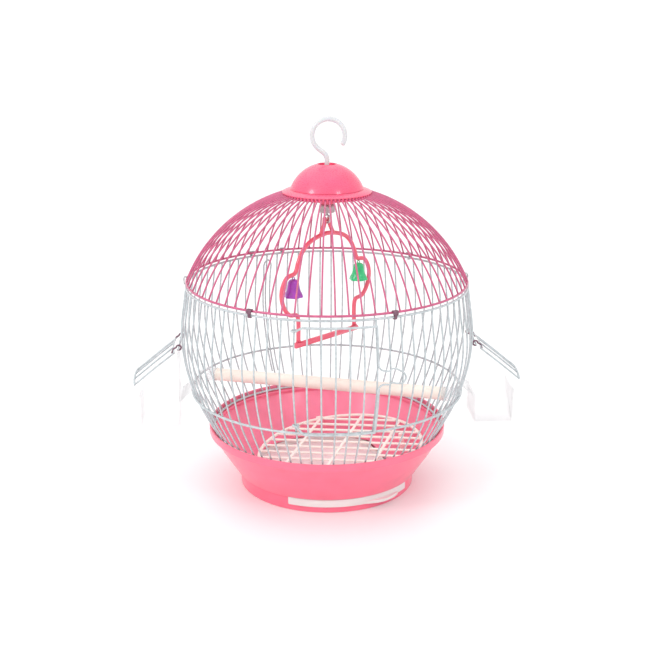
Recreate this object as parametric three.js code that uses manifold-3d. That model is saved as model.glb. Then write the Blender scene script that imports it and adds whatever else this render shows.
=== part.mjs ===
// Ball-shaped hanging bird cage: pink tub with a pull-out tray, white wire belly with a front door and
// two feeder flaps, pink wire dome, hook, swing with two bells, perch and grille.
// Millimetres, +Z up. The origin is the centre of the tub's underside, and the door faces -Y.
// An azimuth is measured in degrees from -Y towards +X.
import * as THREE from 'three';
import { mergeVertices } from 'three/addons/utils/BufferGeometryUtils.js';
import Module from 'manifold-3d';

// ---- General fits ----
const CLEAR = 0.3;                 // gap between pieces that touch
const WELD = 0.5;                  // how far welded wires sink into each other
const WALL = 1.8;                  // moulded plastic wall
const WIRE_SIDES = 3;              // facets of a thin wire
const CORNER = 1.27;               // a square wire's corner reaches this many radii

// ---- Wire ball ----
const BALL_RADIUS = 151;           // wire centreline at the widest level
const WIRE_PITCH = 5;              // degrees between neighbouring wires
const WIRE_RADIUS = 1;
const RING_RADIUS = 1.3;
const WIRE_REACH = 1.56 * WIRE_RADIUS;  // corner of a three-sided wire
const TOP_RING_INSET = 6.7;        // how far each level lies inside the widest one
const GIRDLE_INSET = 11.8;
const FOOT_RING_INSET = 32;
const GIRDLE_RISE = 41.9;          // heights above the foot ring
const BELLY_RISE = 95;
const TOP_RING_RISE = 153.5;
const DOME_RING_RISE = 4.1;        // dome ring above the top ring
const DOME_RING_INSET = 0.8;
const CROWN_RISE = 88.8;           // dome wire ends above the dome ring
const CROWN_RADIUS = 43.6;

// ---- Tub, tray and grille ----
const FOOT_RADIUS = 92;
const FOOT_HEIGHT = 15;
const TUB_HEIGHT = 65.7;
const STEP_OUT = 3.5;              // the cone starts this far outside the foot
const RIM_HEIGHT = 8;
const RIM_STEP = 1.7;              // the rim band stands proud of the cone
const LEDGE_DEPTH = 5.4;           // the wire ball's seat below the rim's top
const FLOOR_WALL = 2;
const DECK_WIDTH = 15.4;           // inner ledge around the tray opening
const TUB_FACETS = 40;
const TRAY_AZIMUTH = 15;
const TRAY_WIDTH = 126;
const TRAY_LIFT = 6.5;             // tray underside above the ground
const TRAY_WALL = 1.6;
const TRAY_PROUD = 1.4;            // tray front beyond the foot
const SLOT_SINK = 8.6;             // the slot's cut ends this far inside the foot's wall
const TRAY_BACK_ROOM = 10.2;       // between the tray's back and the foot's inner wall
const TRAY_SIDE_ROOM = 2.5;        // between the tray's sides and the deck
const GRILLE_INSET = 3.4;          // ring inside the deck's outer edge
const GRILLE_SHIFT = 15;           // the loose grille lies off centre
const GRILLE_TILT = 6.5;           // degrees; its right side is higher
const GRILLE_SPIN = -36;            // degrees its bars are turned from the line of the tilt
const GRILLE_RISE = 3.2;           // its low side above the deck
const GRILLE_THICK = 2.4;
const GRILLE_BAR = 3.4;
const GRILLE_PITCH = 15;
const GRILLE_CROSS_PITCH = 47;

// ---- Openings in the belly ----
const DOOR_HALF = 15;              // degrees either side of the front
const DOOR_OFFSET = 3.9;           // door wires outside the ball's wires
const DOOR_TOP_GAP = 6;            // top rail below the top ring
const LATCH_RISE = 57.5;           // middle of the latch's loop above the girdle
const LATCH_HALF = 12.8;
const FEEDER_HALF = 10;            // degrees either side of each feeder
const FEEDER_RAIL_DROP = 3;        // flap rail below the widest level
const FLAP_LENGTH = 60;
const FLAP_WIDTH = 58;
const FLAP_SLOPE = 39;
const CUP_WIDTH = 50;
const CUP_LIP_WIDTH = 43;
const CUP_DEPTH = 42;
const CUP_RIM_DROP = 1;            // outer rim below the girdle
const CUP_HEIGHT = 36;
const CUP_WALL = 1.6;
const LIP_REACH = 11;
const CUP_STANDOFF = 12;           // inner wall beyond the girdle

// ---- Crown, hook and swing ----
const CAP_RADIUS = 37;
const COLLAR_BORE = 30;
const BRIM_REACH = 3.8;            // the collar's brim over the wire ends
const BRIM_EDGE = 0.9;
const CAP_HEIGHT = 24.3;
const HOOK_RADIUS = 16.4;
const HOOK_WIRE = 2.5;
const HOOK_TIP = -31;              // degrees from +X about the loop's centre
const HOOK_RISE = 28;              // loop centre above the cap's top
const NUT_RADIUS = 8;
const NUT_HEIGHT = 8.6;
const NUT_FACETS = 16;
const NUT_PLAY = 0.05;             // around the corners of the hook's stem
const STEM_SIDES = 6;
const BOSS_DROP = 40;              // cap boss end below the cap's top
const SWING_TURN = 44;             // degrees from +X to the swing's plane
const SWING_WIRE = 2.25;
const SWING_DROP = 122.6;          // bar below the pivot
const SWING_HALF = 42.6;
const SWING_BULGE = 66;
const BAR_RADIUS = 3;
const BELL_REACH = 49;
const BELL_RADIUS = 10;
const BELL_HEIGHT = 20;
const PERCH_RADIUS = 6.7;
const PERCH_AZIMUTH = 72.5;
const PERCH_CAP_LENGTH = 9.6;
const PERCH_SLEEVE = 0.8;          // end caps are this much thicker than the perch

// ---- Levels and radii that follow ----
const ledgeZ = TUB_HEIGHT - LEDGE_DEPTH;
const footRing = { radius: BALL_RADIUS - FOOT_RING_INSET, z: ledgeZ + CLEAR + CORNER * RING_RADIUS };
const girdle = { radius: BALL_RADIUS - GIRDLE_INSET, z: footRing.z + GIRDLE_RISE };
const belly = { radius: BALL_RADIUS, z: footRing.z + BELLY_RISE };
const topRing = { radius: BALL_RADIUS - TOP_RING_INSET, z: footRing.z + TOP_RING_RISE };
const domeRing = { radius: topRing.radius - DOME_RING_INSET, z: topRing.z + DOME_RING_RISE };
const crown = { radius: CROWN_RADIUS, z: domeRing.z + CROWN_RISE };
const girdleRingRadius = girdle.radius + WIRE_RADIUS + RING_RADIUS - WELD;
const collarTop = crown.z + 4.3;
const capBase = collarTop + CLEAR;
const capTop = capBase + CAP_HEIGHT;
const nutTop = capTop - BOSS_DROP - CLEAR;
const nutBase = nutTop - NUT_HEIGHT;
const deckZ = FOOT_HEIGHT + FLOOR_WALL;
const deckOuter = FOOT_RADIUS + STEP_OUT - WALL - 0.3;
const trayTop = FOOT_HEIGHT - 0.7;
const trayReach = FOOT_RADIUS - WALL - TRAY_BACK_ROOM;
const grilleRadius = deckOuter - GRILLE_INSET;

// ---- Finishes ----
const finish = (color, roughness, metalness = 0, opacity = 1) =>
  new THREE.MeshStandardMaterial({ color, roughness, metalness, opacity, transparent: opacity < 1 });
const PINK = finish(0xff8098, 0.35);
const DOME_PINK = finish(0xe06a92, 0.4, 0.1);
const WHITE_WIRE = finish(0xd5dbe6, 0.35, 0.2);
const CREAM = finish(0xfff3e6, 0.5);
const OFF_WHITE = finish(0xf4efe9, 0.45);
const CORAL = finish(0xfa7890, 0.35);
const PURPLE = finish(0xb43cb4, 0.3);
const GREEN = finish(0x32d782, 0.3);
const WOOD = finish(0xead2b0, 0.7);
const CLEAR_PLASTIC = finish(0xf4f6f8, 0.1, 0, 0.35);
const FROSTED = finish(0xf0f0f0, 0.3, 0, 0.8);
const STEEL = finish(0x9a9a9a, 0.35, 0.9);

// ---- Solids ----
const wasm = await Module();
wasm.setup();

const rad = THREE.MathUtils.degToRad;

function onCylinder(radius, azimuth, z) {
  return new THREE.Vector3(radius * Math.sin(rad(azimuth)), -radius * Math.cos(rad(azimuth)), z);
}

function toSolid(geometry) {
  const bare = new THREE.BufferGeometry();
  bare.setAttribute('position', geometry.getAttribute('position').clone());
  if (geometry.index) {
    bare.setIndex(geometry.index.clone());
  }
  const merged = mergeVertices(bare, 1e-3);
  const index = merged.index.array;
  const faces = [];
  for (let i = 0; i < index.length; i += 3) {
    const [a, b, c] = [index[i], index[i + 1], index[i + 2]];
    if (a !== b && b !== c && c !== a) {
      faces.push(a, b, c);
    }
  }
  return new wasm.Manifold(new wasm.Mesh({
    numProp: 3,
    vertProperties: Float32Array.from(merged.getAttribute('position').array),
    triVerts: Uint32Array.from(faces),
  }));
}

function toGeometry(solid) {
  const mesh = solid.getMesh();
  const geometry = new THREE.BufferGeometry();
  geometry.setAttribute('position', new THREE.BufferAttribute(Float32Array.from(mesh.vertProperties), 3));
  geometry.setIndex(new THREE.BufferAttribute(Uint32Array.from(mesh.triVerts), 1));
  return geometry;
}

function join(geometries) {
  return geometries.map(toSolid).reduce((whole, piece) => whole.add(piece));
}

function cut(solid, geometries) {
  return geometries.map(toSolid).reduce((whole, piece) => whole.subtract(piece), solid);
}

function box(size, centre) {
  return new THREE.BoxGeometry(...size).translate(...centre);
}

function lathe(profile, segments = 48) {
  const points = profile.map(([radius, z]) => new THREE.Vector2(radius, z));
  return new THREE.LatheGeometry(points, segments).rotateX(Math.PI / 2);
}

function closedLathe(profile, segments = 48) {
  return lathe([...profile, profile[0]], segments);
}

function arcProfile(radius, centreZ, fromRadius, toRadius, steps) {
  const from = Math.acos(fromRadius / radius);
  const to = Math.acos(toRadius / radius);
  return Array.from({ length: steps + 1 }, (_, i) => {
    const angle = from + ((to - from) * i) / steps;
    return [radius * Math.cos(angle), centreZ + radius * Math.sin(angle)];
  });
}

function polygonCorner(radius, sides) {
  const turn = (2 * Math.PI) / sides;
  return radius * Math.sqrt(turn / Math.sin(turn));
}

function polygonSection(radius, sides) {
  // A regular polygon with the area of the round section.
  const turn = (2 * Math.PI) / sides;
  const corner = polygonCorner(radius, sides);
  const points = Array.from({ length: sides }, (_, i) => {
    const angle = turn * (i + 0.5);
    return new THREE.Vector2(corner * Math.cos(angle), corner * Math.sin(angle));
  });
  return new THREE.Shape(points);
}

function rod(curve, radius, steps, sides = 4) {
  const settings = { steps, bevelEnabled: false, extrudePath: curve };
  return new THREE.ExtrudeGeometry(polygonSection(radius, sides), settings);
}

function straightRod(from, to, radius, sides = 4) {
  return rod(new THREE.LineCurve3(from, to), radius, 1, sides);
}

function smoothRod(points, radius, steps, sides = 4) {
  return rod(new THREE.CatmullRomCurve3(points), radius, steps, sides);
}

class RingArc extends THREE.Curve {
  constructor(radius, z, from, to) {
    super();
    this.place = (t) => onCylinder(radius, from + (to - from) * t, z);
  }

  getPoint(t, target = new THREE.Vector3()) {
    return target.copy(this.place(t));
  }
}

class CircleArc extends THREE.Curve {
  // A circle about centre in the plane of the unit vectors u and v, in degrees.
  constructor(centre, radius, u, v, from = 0, to = 360) {
    super();
    this.place = (t) => {
      const angle = rad(from + (to - from) * t);
      return centre.clone()
        .addScaledVector(u, radius * Math.cos(angle))
        .addScaledVector(v, radius * Math.sin(angle));
    };
  }

  getPoint(t, target = new THREE.Vector3()) {
    return target.copy(this.place(t));
  }
}

const X = new THREE.Vector3(1, 0, 0);
const Y = new THREE.Vector3(0, 1, 0);
const Z = new THREE.Vector3(0, 0, 1);

function eyelet(centre, radius, wire, u, v, segments = 8) {
  // A closed ring whose ends meet inside a short overlap.
  const half = rod(new CircleArc(centre, radius, u, v, 0, 184), wire, segments / 2);
  const other = rod(new CircleArc(centre, radius, u, v, 180, 364), wire, segments / 2);
  return [half, other];
}

// ---- Belly wires ----
const bellyLevels = [footRing, girdle, belly, topRing];
const bellyCurve = new THREE.CatmullRomCurve3(
  bellyLevels.map(({ radius, z }) => new THREE.Vector3(radius, 0, z)), false, 'centripetal');

function bellyRadius(z) {
  // Radius of the ball's wire centreline at a height between the foot ring and the top ring.
  let [low, high] = [0, 1];
  for (let i = 0; i < 40; i++) {
    const middle = (low + high) / 2;
    if (bellyCurve.getPoint(middle).z < z) {
      low = middle;
    } else {
      high = middle;
    }
  }
  return bellyCurve.getPoint(low).x;
}

function bellyWire(azimuth, fromZ, toZ, steps, offset = 0) {
  const points = Array.from({ length: steps + 1 }, (_, i) => {
    const z = fromZ + ((toZ - fromZ) * i) / steps;
    return onCylinder(bellyRadius(z) + offset, azimuth, z);
  });
  return smoothRod(points, WIRE_RADIUS, steps, WIRE_SIDES);
}

function ringArc(radius, z, half, wire = RING_RADIUS) {
  const trim = THREE.MathUtils.radToDeg(CLEAR / 2 / footRing.radius);
  const steps = Math.round((2 * half) / WIRE_PITCH);
  return rod(new RingArc(radius, z, -half + trim, half - trim), wire, steps);
}

function bellyRings(half) {
  return [
    ringArc(footRing.radius, footRing.z, half),
    ringArc(girdleRingRadius, girdle.z, half),
    ringArc(topRing.radius, topRing.z, half),
  ];
}

function wireAzimuths(half) {
  const count = Math.round((2 * half) / WIRE_PITCH);
  return Array.from({ length: count }, (_, i) => (i - (count - 1) / 2) * WIRE_PITCH);
}

function plainPanel(half) {
  const wires = wireAzimuths(half).map((azimuth) => bellyWire(azimuth, footRing.z, topRing.z, 4));
  return toGeometry(join([...bellyRings(half), ...wires]));
}

function frontPanel(half) {
  const wires = wireAzimuths(half).map((azimuth) => {
    const short = Math.abs(azimuth) < DOOR_HALF;
    return bellyWire(azimuth, footRing.z, short ? girdle.z : topRing.z, short ? 1 : 4);
  });
  return toGeometry(join([...bellyRings(half), ...wires]));
}

const flapHinge = { x: belly.radius + 2 * WIRE_RADIUS - WELD, z: belly.z - FEEDER_RAIL_DROP };

function feederPanel(half) {
  // Built with the feeder at the front; the wires in the opening stop at the girdle and at the flap rail.
  const parts = [];
  for (const azimuth of wireAzimuths(half)) {
    if (Math.abs(azimuth) >= FEEDER_HALF) {
      parts.push(bellyWire(azimuth, footRing.z, topRing.z, 4));
    } else {
      const y = flapHinge.x;
      const side = y * Math.tan(rad(azimuth));
      const middleZ = (flapHinge.z + topRing.z) / 2;
      parts.push(bellyWire(azimuth, footRing.z, girdle.z, 1));
      parts.push(smoothRod([
        new THREE.Vector3(side, -y, flapHinge.z),
        onCylinder(bellyRadius(middleZ), azimuth, middleZ),
        onCylinder(topRing.radius, azimuth, topRing.z),
      ], WIRE_RADIUS, 2, WIRE_SIDES));
    }
  }
  const railHalf = FLAP_WIDTH / 2 - 1;
  parts.push(straightRod(
    new THREE.Vector3(-railHalf, -flapHinge.x, flapHinge.z),
    new THREE.Vector3(railHalf, -flapHinge.x, flapHinge.z), WIRE_RADIUS));
  return toGeometry(join([...bellyRings(half), ...parts]));
}

// ---- Dome wires ----
// The dome lies on a sphere about a point of the axis, through the dome ring and the crown.
const domeCentre = (crown.radius ** 2 + crown.z ** 2 - domeRing.radius ** 2 - domeRing.z ** 2)
  / (2 * (crown.z - domeRing.z));
const domeSphere = Math.hypot(domeRing.radius, domeRing.z - domeCentre);

function domePanel(half) {
  const start = THREE.MathUtils.radToDeg(Math.atan2(domeRing.z - domeCentre, domeRing.radius));
  const end = THREE.MathUtils.radToDeg(Math.atan2(crown.z - domeCentre, crown.radius));
  const wires = wireAzimuths(half).map((azimuth) => {
    const outward = onCylinder(1, azimuth, 0);
    const centre = new THREE.Vector3(0, 0, domeCentre);
    return rod(new CircleArc(centre, domeSphere, outward, Z, start, end), WIRE_RADIUS, 4, WIRE_SIDES);
  });
  return toGeometry(join([ringArc(domeRing.radius, domeRing.z, half), ...wires]));
}

// ---- Tub ----
const rimInner = bellyRadius(TUB_HEIGHT) + WIRE_REACH + CLEAR + 0.1;
const rimOuter = rimInner + WALL;
const coneBase = FOOT_RADIUS + STEP_OUT;
const coneTop = rimOuter - RIM_STEP;
const bandBase = TUB_HEIGHT - RIM_HEIGHT;

function coneRadius(z) {
  // Outer radius of the tub's cone at a height between the foot and the rim band.
  return coneBase + ((coneTop - coneBase) * (z - FOOT_HEIGHT)) / (bandBase - FOOT_HEIGHT);
}

// The inner cone runs from the deck up to the ledge's gusset.
const ledgeBase = ledgeZ - 2;
const innerConeTop = ledgeBase - 3;
const innerConeRadius = coneRadius(innerConeTop) - WALL;
const grilleLevel = deckZ + GRILLE_RISE + grilleRadius * Math.sin(rad(GRILLE_TILT));
const deckInner = deckOuter - DECK_WIDTH;

function tubGeometry() {
  const ledgeInner = footRing.radius - RING_RADIUS - 0.8;
  const body = closedLathe([
    [deckInner, FOOT_HEIGHT],
    [FOOT_RADIUS - WALL, FOOT_HEIGHT],
    [FOOT_RADIUS - WALL, FLOOR_WALL - WELD],
    [FOOT_RADIUS - WALL - 2, 0],
    [FOOT_RADIUS, 0],
    [FOOT_RADIUS, FOOT_HEIGHT],
    [coneBase, FOOT_HEIGHT],
    [coneTop, bandBase],
    [rimOuter, bandBase],
    [rimOuter, TUB_HEIGHT],
    [rimInner, TUB_HEIGHT],
    [rimInner, ledgeZ],
    [ledgeInner, ledgeZ],
    [ledgeInner, ledgeBase],
    [innerConeRadius, innerConeTop],
    [deckOuter, deckZ],
    [deckInner, deckZ],
  ], TUB_FACETS);
  const floor = lathe([[0, 0], [FOOT_RADIUS - WALL - 1, 0], [FOOT_RADIUS - WALL - 1, FLOOR_WALL],
    [0, FLOOR_WALL]], TUB_FACETS);
  // The deck also closes the space beside the tray.
  const plate = lathe([[0, FOOT_HEIGHT], [deckInner + 2, FOOT_HEIGHT], [deckInner + 2, deckZ], [0, deckZ]],
    TUB_FACETS);
  const mouth = lathe([[0, FOOT_HEIGHT - 1], [deckInner - 1, FOOT_HEIGHT - 1], [deckInner - 1, deckZ + 1],
    [0, deckZ + 1]], TUB_FACETS);
  const sideBlocks = [-1, 1].map((side) => box([2 * deckInner, 2 * deckInner, FOOT_HEIGHT],
    [side * (TRAY_WIDTH / 2 + TRAY_SIDE_ROOM + deckInner), 0, deckZ]).rotateZ(rad(TRAY_AZIMUTH)));
  const deck = toGeometry(cut(toSolid(plate), [toGeometry(cut(toSolid(mouth), sideBlocks))]));
  const runners = [-1, 1].map((side) => {
    const height = TRAY_LIFT - CLEAR;
    const runner = box([4, 1.4 * trayReach, height], [side * TRAY_WIDTH * 0.38, 0, height / 2]);
    return runner.rotateZ(rad(TRAY_AZIMUTH));
  });
  const slotHeight = trayTop + CLEAR - (TRAY_LIFT - CLEAR);
  const slotWidth = TRAY_WIDTH + 2 * CLEAR + 1;
  const slotBack = Math.sqrt((FOOT_RADIUS - WALL) ** 2 - (slotWidth / 2) ** 2) - SLOT_SINK;
  const slot = box([slotWidth, FOOT_RADIUS, slotHeight],
    [0, -slotBack - FOOT_RADIUS / 2, TRAY_LIFT - CLEAR + slotHeight / 2]).rotateZ(rad(TRAY_AZIMUTH));
  return toGeometry(cut(join([body, floor, deck, ...runners]), [slot]));
}

// ---- Tray, in its own frame: the front faces -Y ----
function trayOutline(inset, frontRadius) {
  const halfWidth = TRAY_WIDTH / 2 - inset;
  const back = trayReach - inset;
  const front = Math.asin(halfWidth / frontRadius);
  const rear = Math.asin(halfWidth / back);
  const shape = new THREE.Shape();
  shape.absarc(0, 0, frontRadius, -Math.PI / 2 - front, -Math.PI / 2 + front, false);
  shape.absarc(0, 0, back, Math.PI / 2 - rear, Math.PI / 2 + rear, false);
  return shape;
}

function trayGeometry() {
  const frontRadius = FOOT_RADIUS + TRAY_PROUD;
  const height = trayTop - TRAY_LIFT;
  const settings = { bevelEnabled: false, curveSegments: 10 };
  const block = new THREE.ExtrudeGeometry(trayOutline(0, frontRadius), { ...settings, depth: height })
    .translate(0, 0, TRAY_LIFT);
  const hollow = new THREE.ExtrudeGeometry(
    trayOutline(TRAY_WALL, frontRadius - TRAY_PROUD - WALL - 1), { ...settings, depth: height })
    .translate(0, 0, TRAY_LIFT + TRAY_WALL);
  const grip = box([40, 8, 3], [30, -frontRadius + 3, TRAY_LIFT + 1.5]);
  return toGeometry(cut(join([block, grip]), [hollow]));
}

// ---- Grille, in its own frame: the long bars run along X ----
function grilleGeometry() {
  const inner = grilleRadius - GRILLE_BAR;
  const low = -GRILLE_THICK / 2;
  const high = GRILLE_THICK / 2;
  const ring = closedLathe([[inner, low], [grilleRadius, low], [grilleRadius, high], [inner, high]], 30);
  const chord = (offset) => 2 * Math.sqrt((inner + 1.6) ** 2 - (Math.abs(offset) + GRILLE_BAR / 2) ** 2);
  const parts = [ring];
  const bars = Math.floor((inner - GRILLE_BAR) / GRILLE_PITCH);
  for (let i = -bars; i <= bars; i++) {
    const offset = i * GRILLE_PITCH;
    const bar = box([chord(offset), GRILLE_BAR, GRILLE_THICK - 0.4], [0, offset, 0]);
    parts.push(bar.rotateZ(rad(GRILLE_SPIN)));
  }
  for (let i = -1; i <= 1; i++) {
    const offset = i * GRILLE_CROSS_PITCH;
    const crossBar = box([GRILLE_BAR, chord(offset), GRILLE_THICK - 0.8], [offset, 0, 0]);
    parts.push(crossBar.rotateZ(rad(GRILLE_SPIN)));
  }
  parts.push(box([9, 5, GRILLE_THICK - 0.4], [6, grilleRadius + 1.5, 0]));
  const legTop = low + 1;
  const tilt = rad(GRILLE_TILT);
  const legDepth = 5;
  const legFoot = deckZ + CLEAR + (legDepth / 2) * Math.sin(tilt) - grilleLevel;
  const ringMiddle = grilleRadius - GRILLE_BAR / 2;
  const deckMiddle = deckOuter - DECK_WIDTH / 2;
  const legX = (deckMiddle ** 2 - GRILLE_SHIFT ** 2 - ringMiddle ** 2) / (2 * GRILLE_SHIFT);
  const legY = Math.sqrt(ringMiddle ** 2 - legX ** 2);
  for (const [x, y] of [[legX, legY], [legX, -legY], [deckMiddle - GRILLE_SHIFT, 0]]) {
    const legBase = (legFoot - x * Math.sin(tilt)) / Math.cos(tilt);
    parts.push(box([legDepth, 3.2, legTop - legBase], [x, y, (legTop + legBase) / 2]));
  }
  return toGeometry(join(parts));
}

// ---- Front door, in the cage's frame ----
const doorTop = topRing.z - DOOR_TOP_GAP;
const doorHinge = {
  low: onCylinder(bellyRadius(girdle.z + 8), -DOOR_HALF, girdle.z + 8),
  high: onCylinder(bellyRadius(doorTop - 4), -DOOR_HALF, doorTop - 4),
};

function doorRadius(z) {
  // The door's wires clear the ball's wires, and pass outside the girdle at the bottom.
  const overGirdle = girdleRingRadius - girdle.radius + 2 * CORNER * RING_RADIUS + CLEAR;
  const blend = Math.min(1, Math.max(0, (z - girdle.z) / (belly.z - girdle.z)));
  return bellyRadius(z) + THREE.MathUtils.lerp(overGirdle, DOOR_OFFSET, blend);
}

function doorGeometry() {
  const latchZ = girdle.z + LATCH_RISE;
  const span = (low, high, shares) => shares.map((t) => low + (high - low) * t);
  const upright = (azimuth, wire, levels, sides = WIRE_SIDES) => smoothRod(
    levels.map((z) => onCylinder(doorRadius(z), azimuth, z)), wire, levels.length - 1, sides);
  const parts = [
    upright(DOOR_HALF, RING_RADIUS + 0.2, span(girdle.z, latchZ - LATCH_HALF + 1, [0, 0.35, 0.7, 1]), 4),
    upright(DOOR_HALF, WIRE_RADIUS, span(latchZ + LATCH_HALF - 1, doorTop, [0, 0.4, 0.7, 1])),
  ];
  const levels = span(girdle.z, doorTop, [0, 0.12, 0.35, 0.6, 0.8, 1]);
  for (let azimuth = -DOOR_HALF + WIRE_PITCH; azimuth < DOOR_HALF; azimuth += WIRE_PITCH) {
    parts.push(upright(azimuth, WIRE_RADIUS, levels));
  }
  const hinge = new THREE.Vector3().subVectors(doorHinge.high, doorHinge.low).normalize();
  const outward = onCylinder(1, -DOOR_HALF, 0);
  const curlU = outward.clone().addScaledVector(hinge, -outward.dot(hinge)).normalize();
  const curlV = new THREE.Vector3().crossVectors(hinge, curlU);
  const curlRadius = WIRE_REACH + CORNER * WIRE_RADIUS + 0.6;
  for (const [railZ, curlAt] of [[girdle.z, doorHinge.low], [doorTop, doorHinge.high]]) {
    parts.push(rod(new RingArc(doorRadius(railZ), railZ, -DOOR_HALF + 2, DOOR_HALF), RING_RADIUS, 4));
    const start = curlAt.clone().addScaledVector(curlU, curlRadius);
    parts.push(smoothRod([
      start, onCylinder(doorRadius(railZ), -DOOR_HALF + 2, railZ),
      onCylinder(doorRadius(railZ), -DOOR_HALF + 3, railZ)], WIRE_RADIUS, 2));
    parts.push(...eyelet(curlAt, curlRadius, WIRE_RADIUS, curlU, curlV));
  }
  const latch = [[0, LATCH_HALF], [2.2, 6.3], [5, 7.5], [8.4, 4], [10.5, -3], [9, -8], [5, -6], [2, -7],
    [0, -LATCH_HALF]];
  parts.push(smoothRod(latch.map(([azimuth, rise]) => {
    const z = latchZ + rise;
    return onCylinder(doorRadius(z), DOOR_HALF + azimuth, z);
  }), WIRE_RADIUS, 14));
  return toGeometry(join(parts));
}

// ---- Feeder flap, in its own frame: hinge on Y through the origin, flap along +X ----
function flapGeometry() {
  const half = FLAP_WIDTH / 2 - WIRE_RADIUS;
  const bow = 3;
  const curl = 2 * WIRE_RADIUS + 0.7;
  const crown = (y) => bow * (1 - (y / half) ** 2);
  const across = (x, wire) => smoothRod(
    [-1, -0.5, 0, 0.5, 1].map((t) => new THREE.Vector3(x, t * half, crown(t * half))), wire, 4);
  const parts = [across(FLAP_LENGTH - RING_RADIUS, RING_RADIUS), across(curl + 3, WIRE_RADIUS)];
  for (const y of [-1, -0.5, 0, 0.5, 1].map((t) => t * half)) {
    const start = new THREE.Vector3(curl + 3, y, crown(y));
    const end = new THREE.Vector3(FLAP_LENGTH - RING_RADIUS, y, crown(y));
    parts.push(straightRod(start, end, WIRE_RADIUS, WIRE_SIDES));
  }
  for (const y of [-0.75, 0.75].map((t) => t * half)) {
    parts.push(...eyelet(new THREE.Vector3(0, y, 0), curl, WIRE_RADIUS, X, Z));
    const from = new THREE.Vector3(curl, y, 0);
    parts.push(straightRod(from, new THREE.Vector3(curl + 3, y, crown(y)), WIRE_RADIUS, WIRE_SIDES));
  }
  return toGeometry(join(parts));
}

// ---- Feeder cup, in the cage's frame at +X ----
function cupGeometry() {
  const slope = rad(FLAP_SLOPE);
  const down = new THREE.Vector2(Math.cos(slope), -Math.sin(slope));
  const normal = new THREE.Vector2(Math.sin(slope), Math.cos(slope));
  const along = (origin, x, lift) => {
    // The point at x of the line through origin along the flap's slope, moved by lift along its normal.
    const start = new THREE.Vector2(...origin).addScaledVector(normal, lift);
    return [x, start.y + (down.y * (x - start.x)) / down.x];
  };
  const inner = girdleRingRadius + CUP_STANDOFF;
  const outer = inner + CUP_DEPTH;
  const rimZ = girdle.z - CUP_RIM_DROP;
  const base = rimZ - CUP_HEIGHT;
  const hinge = [flapHinge.x, flapHinge.z];
  const ring = [girdleRingRadius, girdle.z];
  const underFlap = -(WIRE_RADIUS + CLEAR + 0.4);
  const overRing = RING_RADIUS + CLEAR;
  const body = new THREE.Shape([
    [inner, base], [outer, base], along(hinge, outer, underFlap),
    along(hinge, inner + 3.5, underFlap), [inner, hinge[1] - 5],
  ].map((point) => new THREE.Vector2(...point)));
  const slab = (shape, width) => new THREE.ExtrudeGeometry(shape, { depth: width, bevelEnabled: false })
    .rotateX(Math.PI / 2).translate(0, width / 2, 0);
  const lipIn = girdleRingRadius - LIP_REACH * Math.cos(slope);
  const lip = new THREE.Shape([
    along(ring, lipIn, overRing), along(ring, inner + CUP_WALL, overRing),
    along(ring, inner + CUP_WALL, overRing + CUP_WALL), along(ring, lipIn, overRing + CUP_WALL),
  ].map((point) => new THREE.Vector2(...point)));
  const hollow = new THREE.Shape([
    [inner + CUP_WALL, base + CUP_WALL], [outer - CUP_WALL, base + CUP_WALL],
    [outer - CUP_WALL, hinge[1]], [inner + CUP_WALL, hinge[1]],
  ].map((point) => new THREE.Vector2(...point)));
  const overRim = new THREE.Shape([
    [outer - CUP_WALL - 1, rimZ], [outer + 5, rimZ], [outer + 5, hinge[1]], [outer - CUP_WALL - 1, hinge[1]],
  ].map((point) => new THREE.Vector2(...point)));
  const lipStart = along(ring, inner, overRing)[1];
  const mouth = new THREE.Shape([
    [inner - 5, lipStart], [inner + CUP_WALL + 1, lipStart], [inner + CUP_WALL + 1, hinge[1]],
    [inner - 5, hinge[1]],
  ].map((point) => new THREE.Vector2(...point)));
  const room = CUP_WIDTH - 2 * CUP_WALL;
  const block = toSolid(slab(body, CUP_WIDTH));
  const shell = cut(block, [slab(hollow, room), slab(overRim, room), slab(mouth, room)]);
  return toGeometry(shell.add(toSolid(slab(lip, CUP_LIP_WIDTH))));
}

// ---- Crown ----
function collarGeometry() {
  const brimBase = crown.z + WIRE_RADIUS + CLEAR + 0.2;
  const hub = crown.radius - WIRE_RADIUS - CLEAR;
  const brim = hub + BRIM_REACH;
  return closedLathe([[COLLAR_BORE, crown.z - 3], [hub, crown.z - 3], [hub, brimBase],
    [brim, brimBase], [brim, brimBase + BRIM_EDGE],
    [CAP_RADIUS + 1, collarTop], [COLLAR_BORE, collarTop]], 36);
}

const stemHole = HOOK_WIRE + 0.9;

function capGeometry() {
  const recess = 9;
  const sphere = (CAP_RADIUS ** 2 + CAP_HEIGHT ** 2 - (recess + 0.5) ** 2);
  const drop = sphere / (2 * CAP_HEIGHT);
  const centre = capTop - drop;
  const outerRadius = Math.hypot(CAP_RADIUS, capBase - centre);
  const outer = arcProfile(outerRadius, centre, CAP_RADIUS, recess + 0.5, 4);
  const innerRadius = outerRadius - WALL;
  const roofZ = capTop - 4.5;
  const roofInner = Math.sqrt(innerRadius ** 2 - (roofZ - centre) ** 2);
  const baseInner = Math.sqrt(innerRadius ** 2 - (capBase - centre) ** 2);
  const inner = arcProfile(innerRadius, centre, roofInner, baseInner, 3);
  const boss = stemHole + 3.4;
  return closedLathe([
    ...outer, [recess, capTop - 2.5], [stemHole, capTop - 2.5], [stemHole, capTop - BOSS_DROP],
    [boss, capTop - BOSS_DROP], [boss, roofZ], ...inner,
  ], 28);
}

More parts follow.
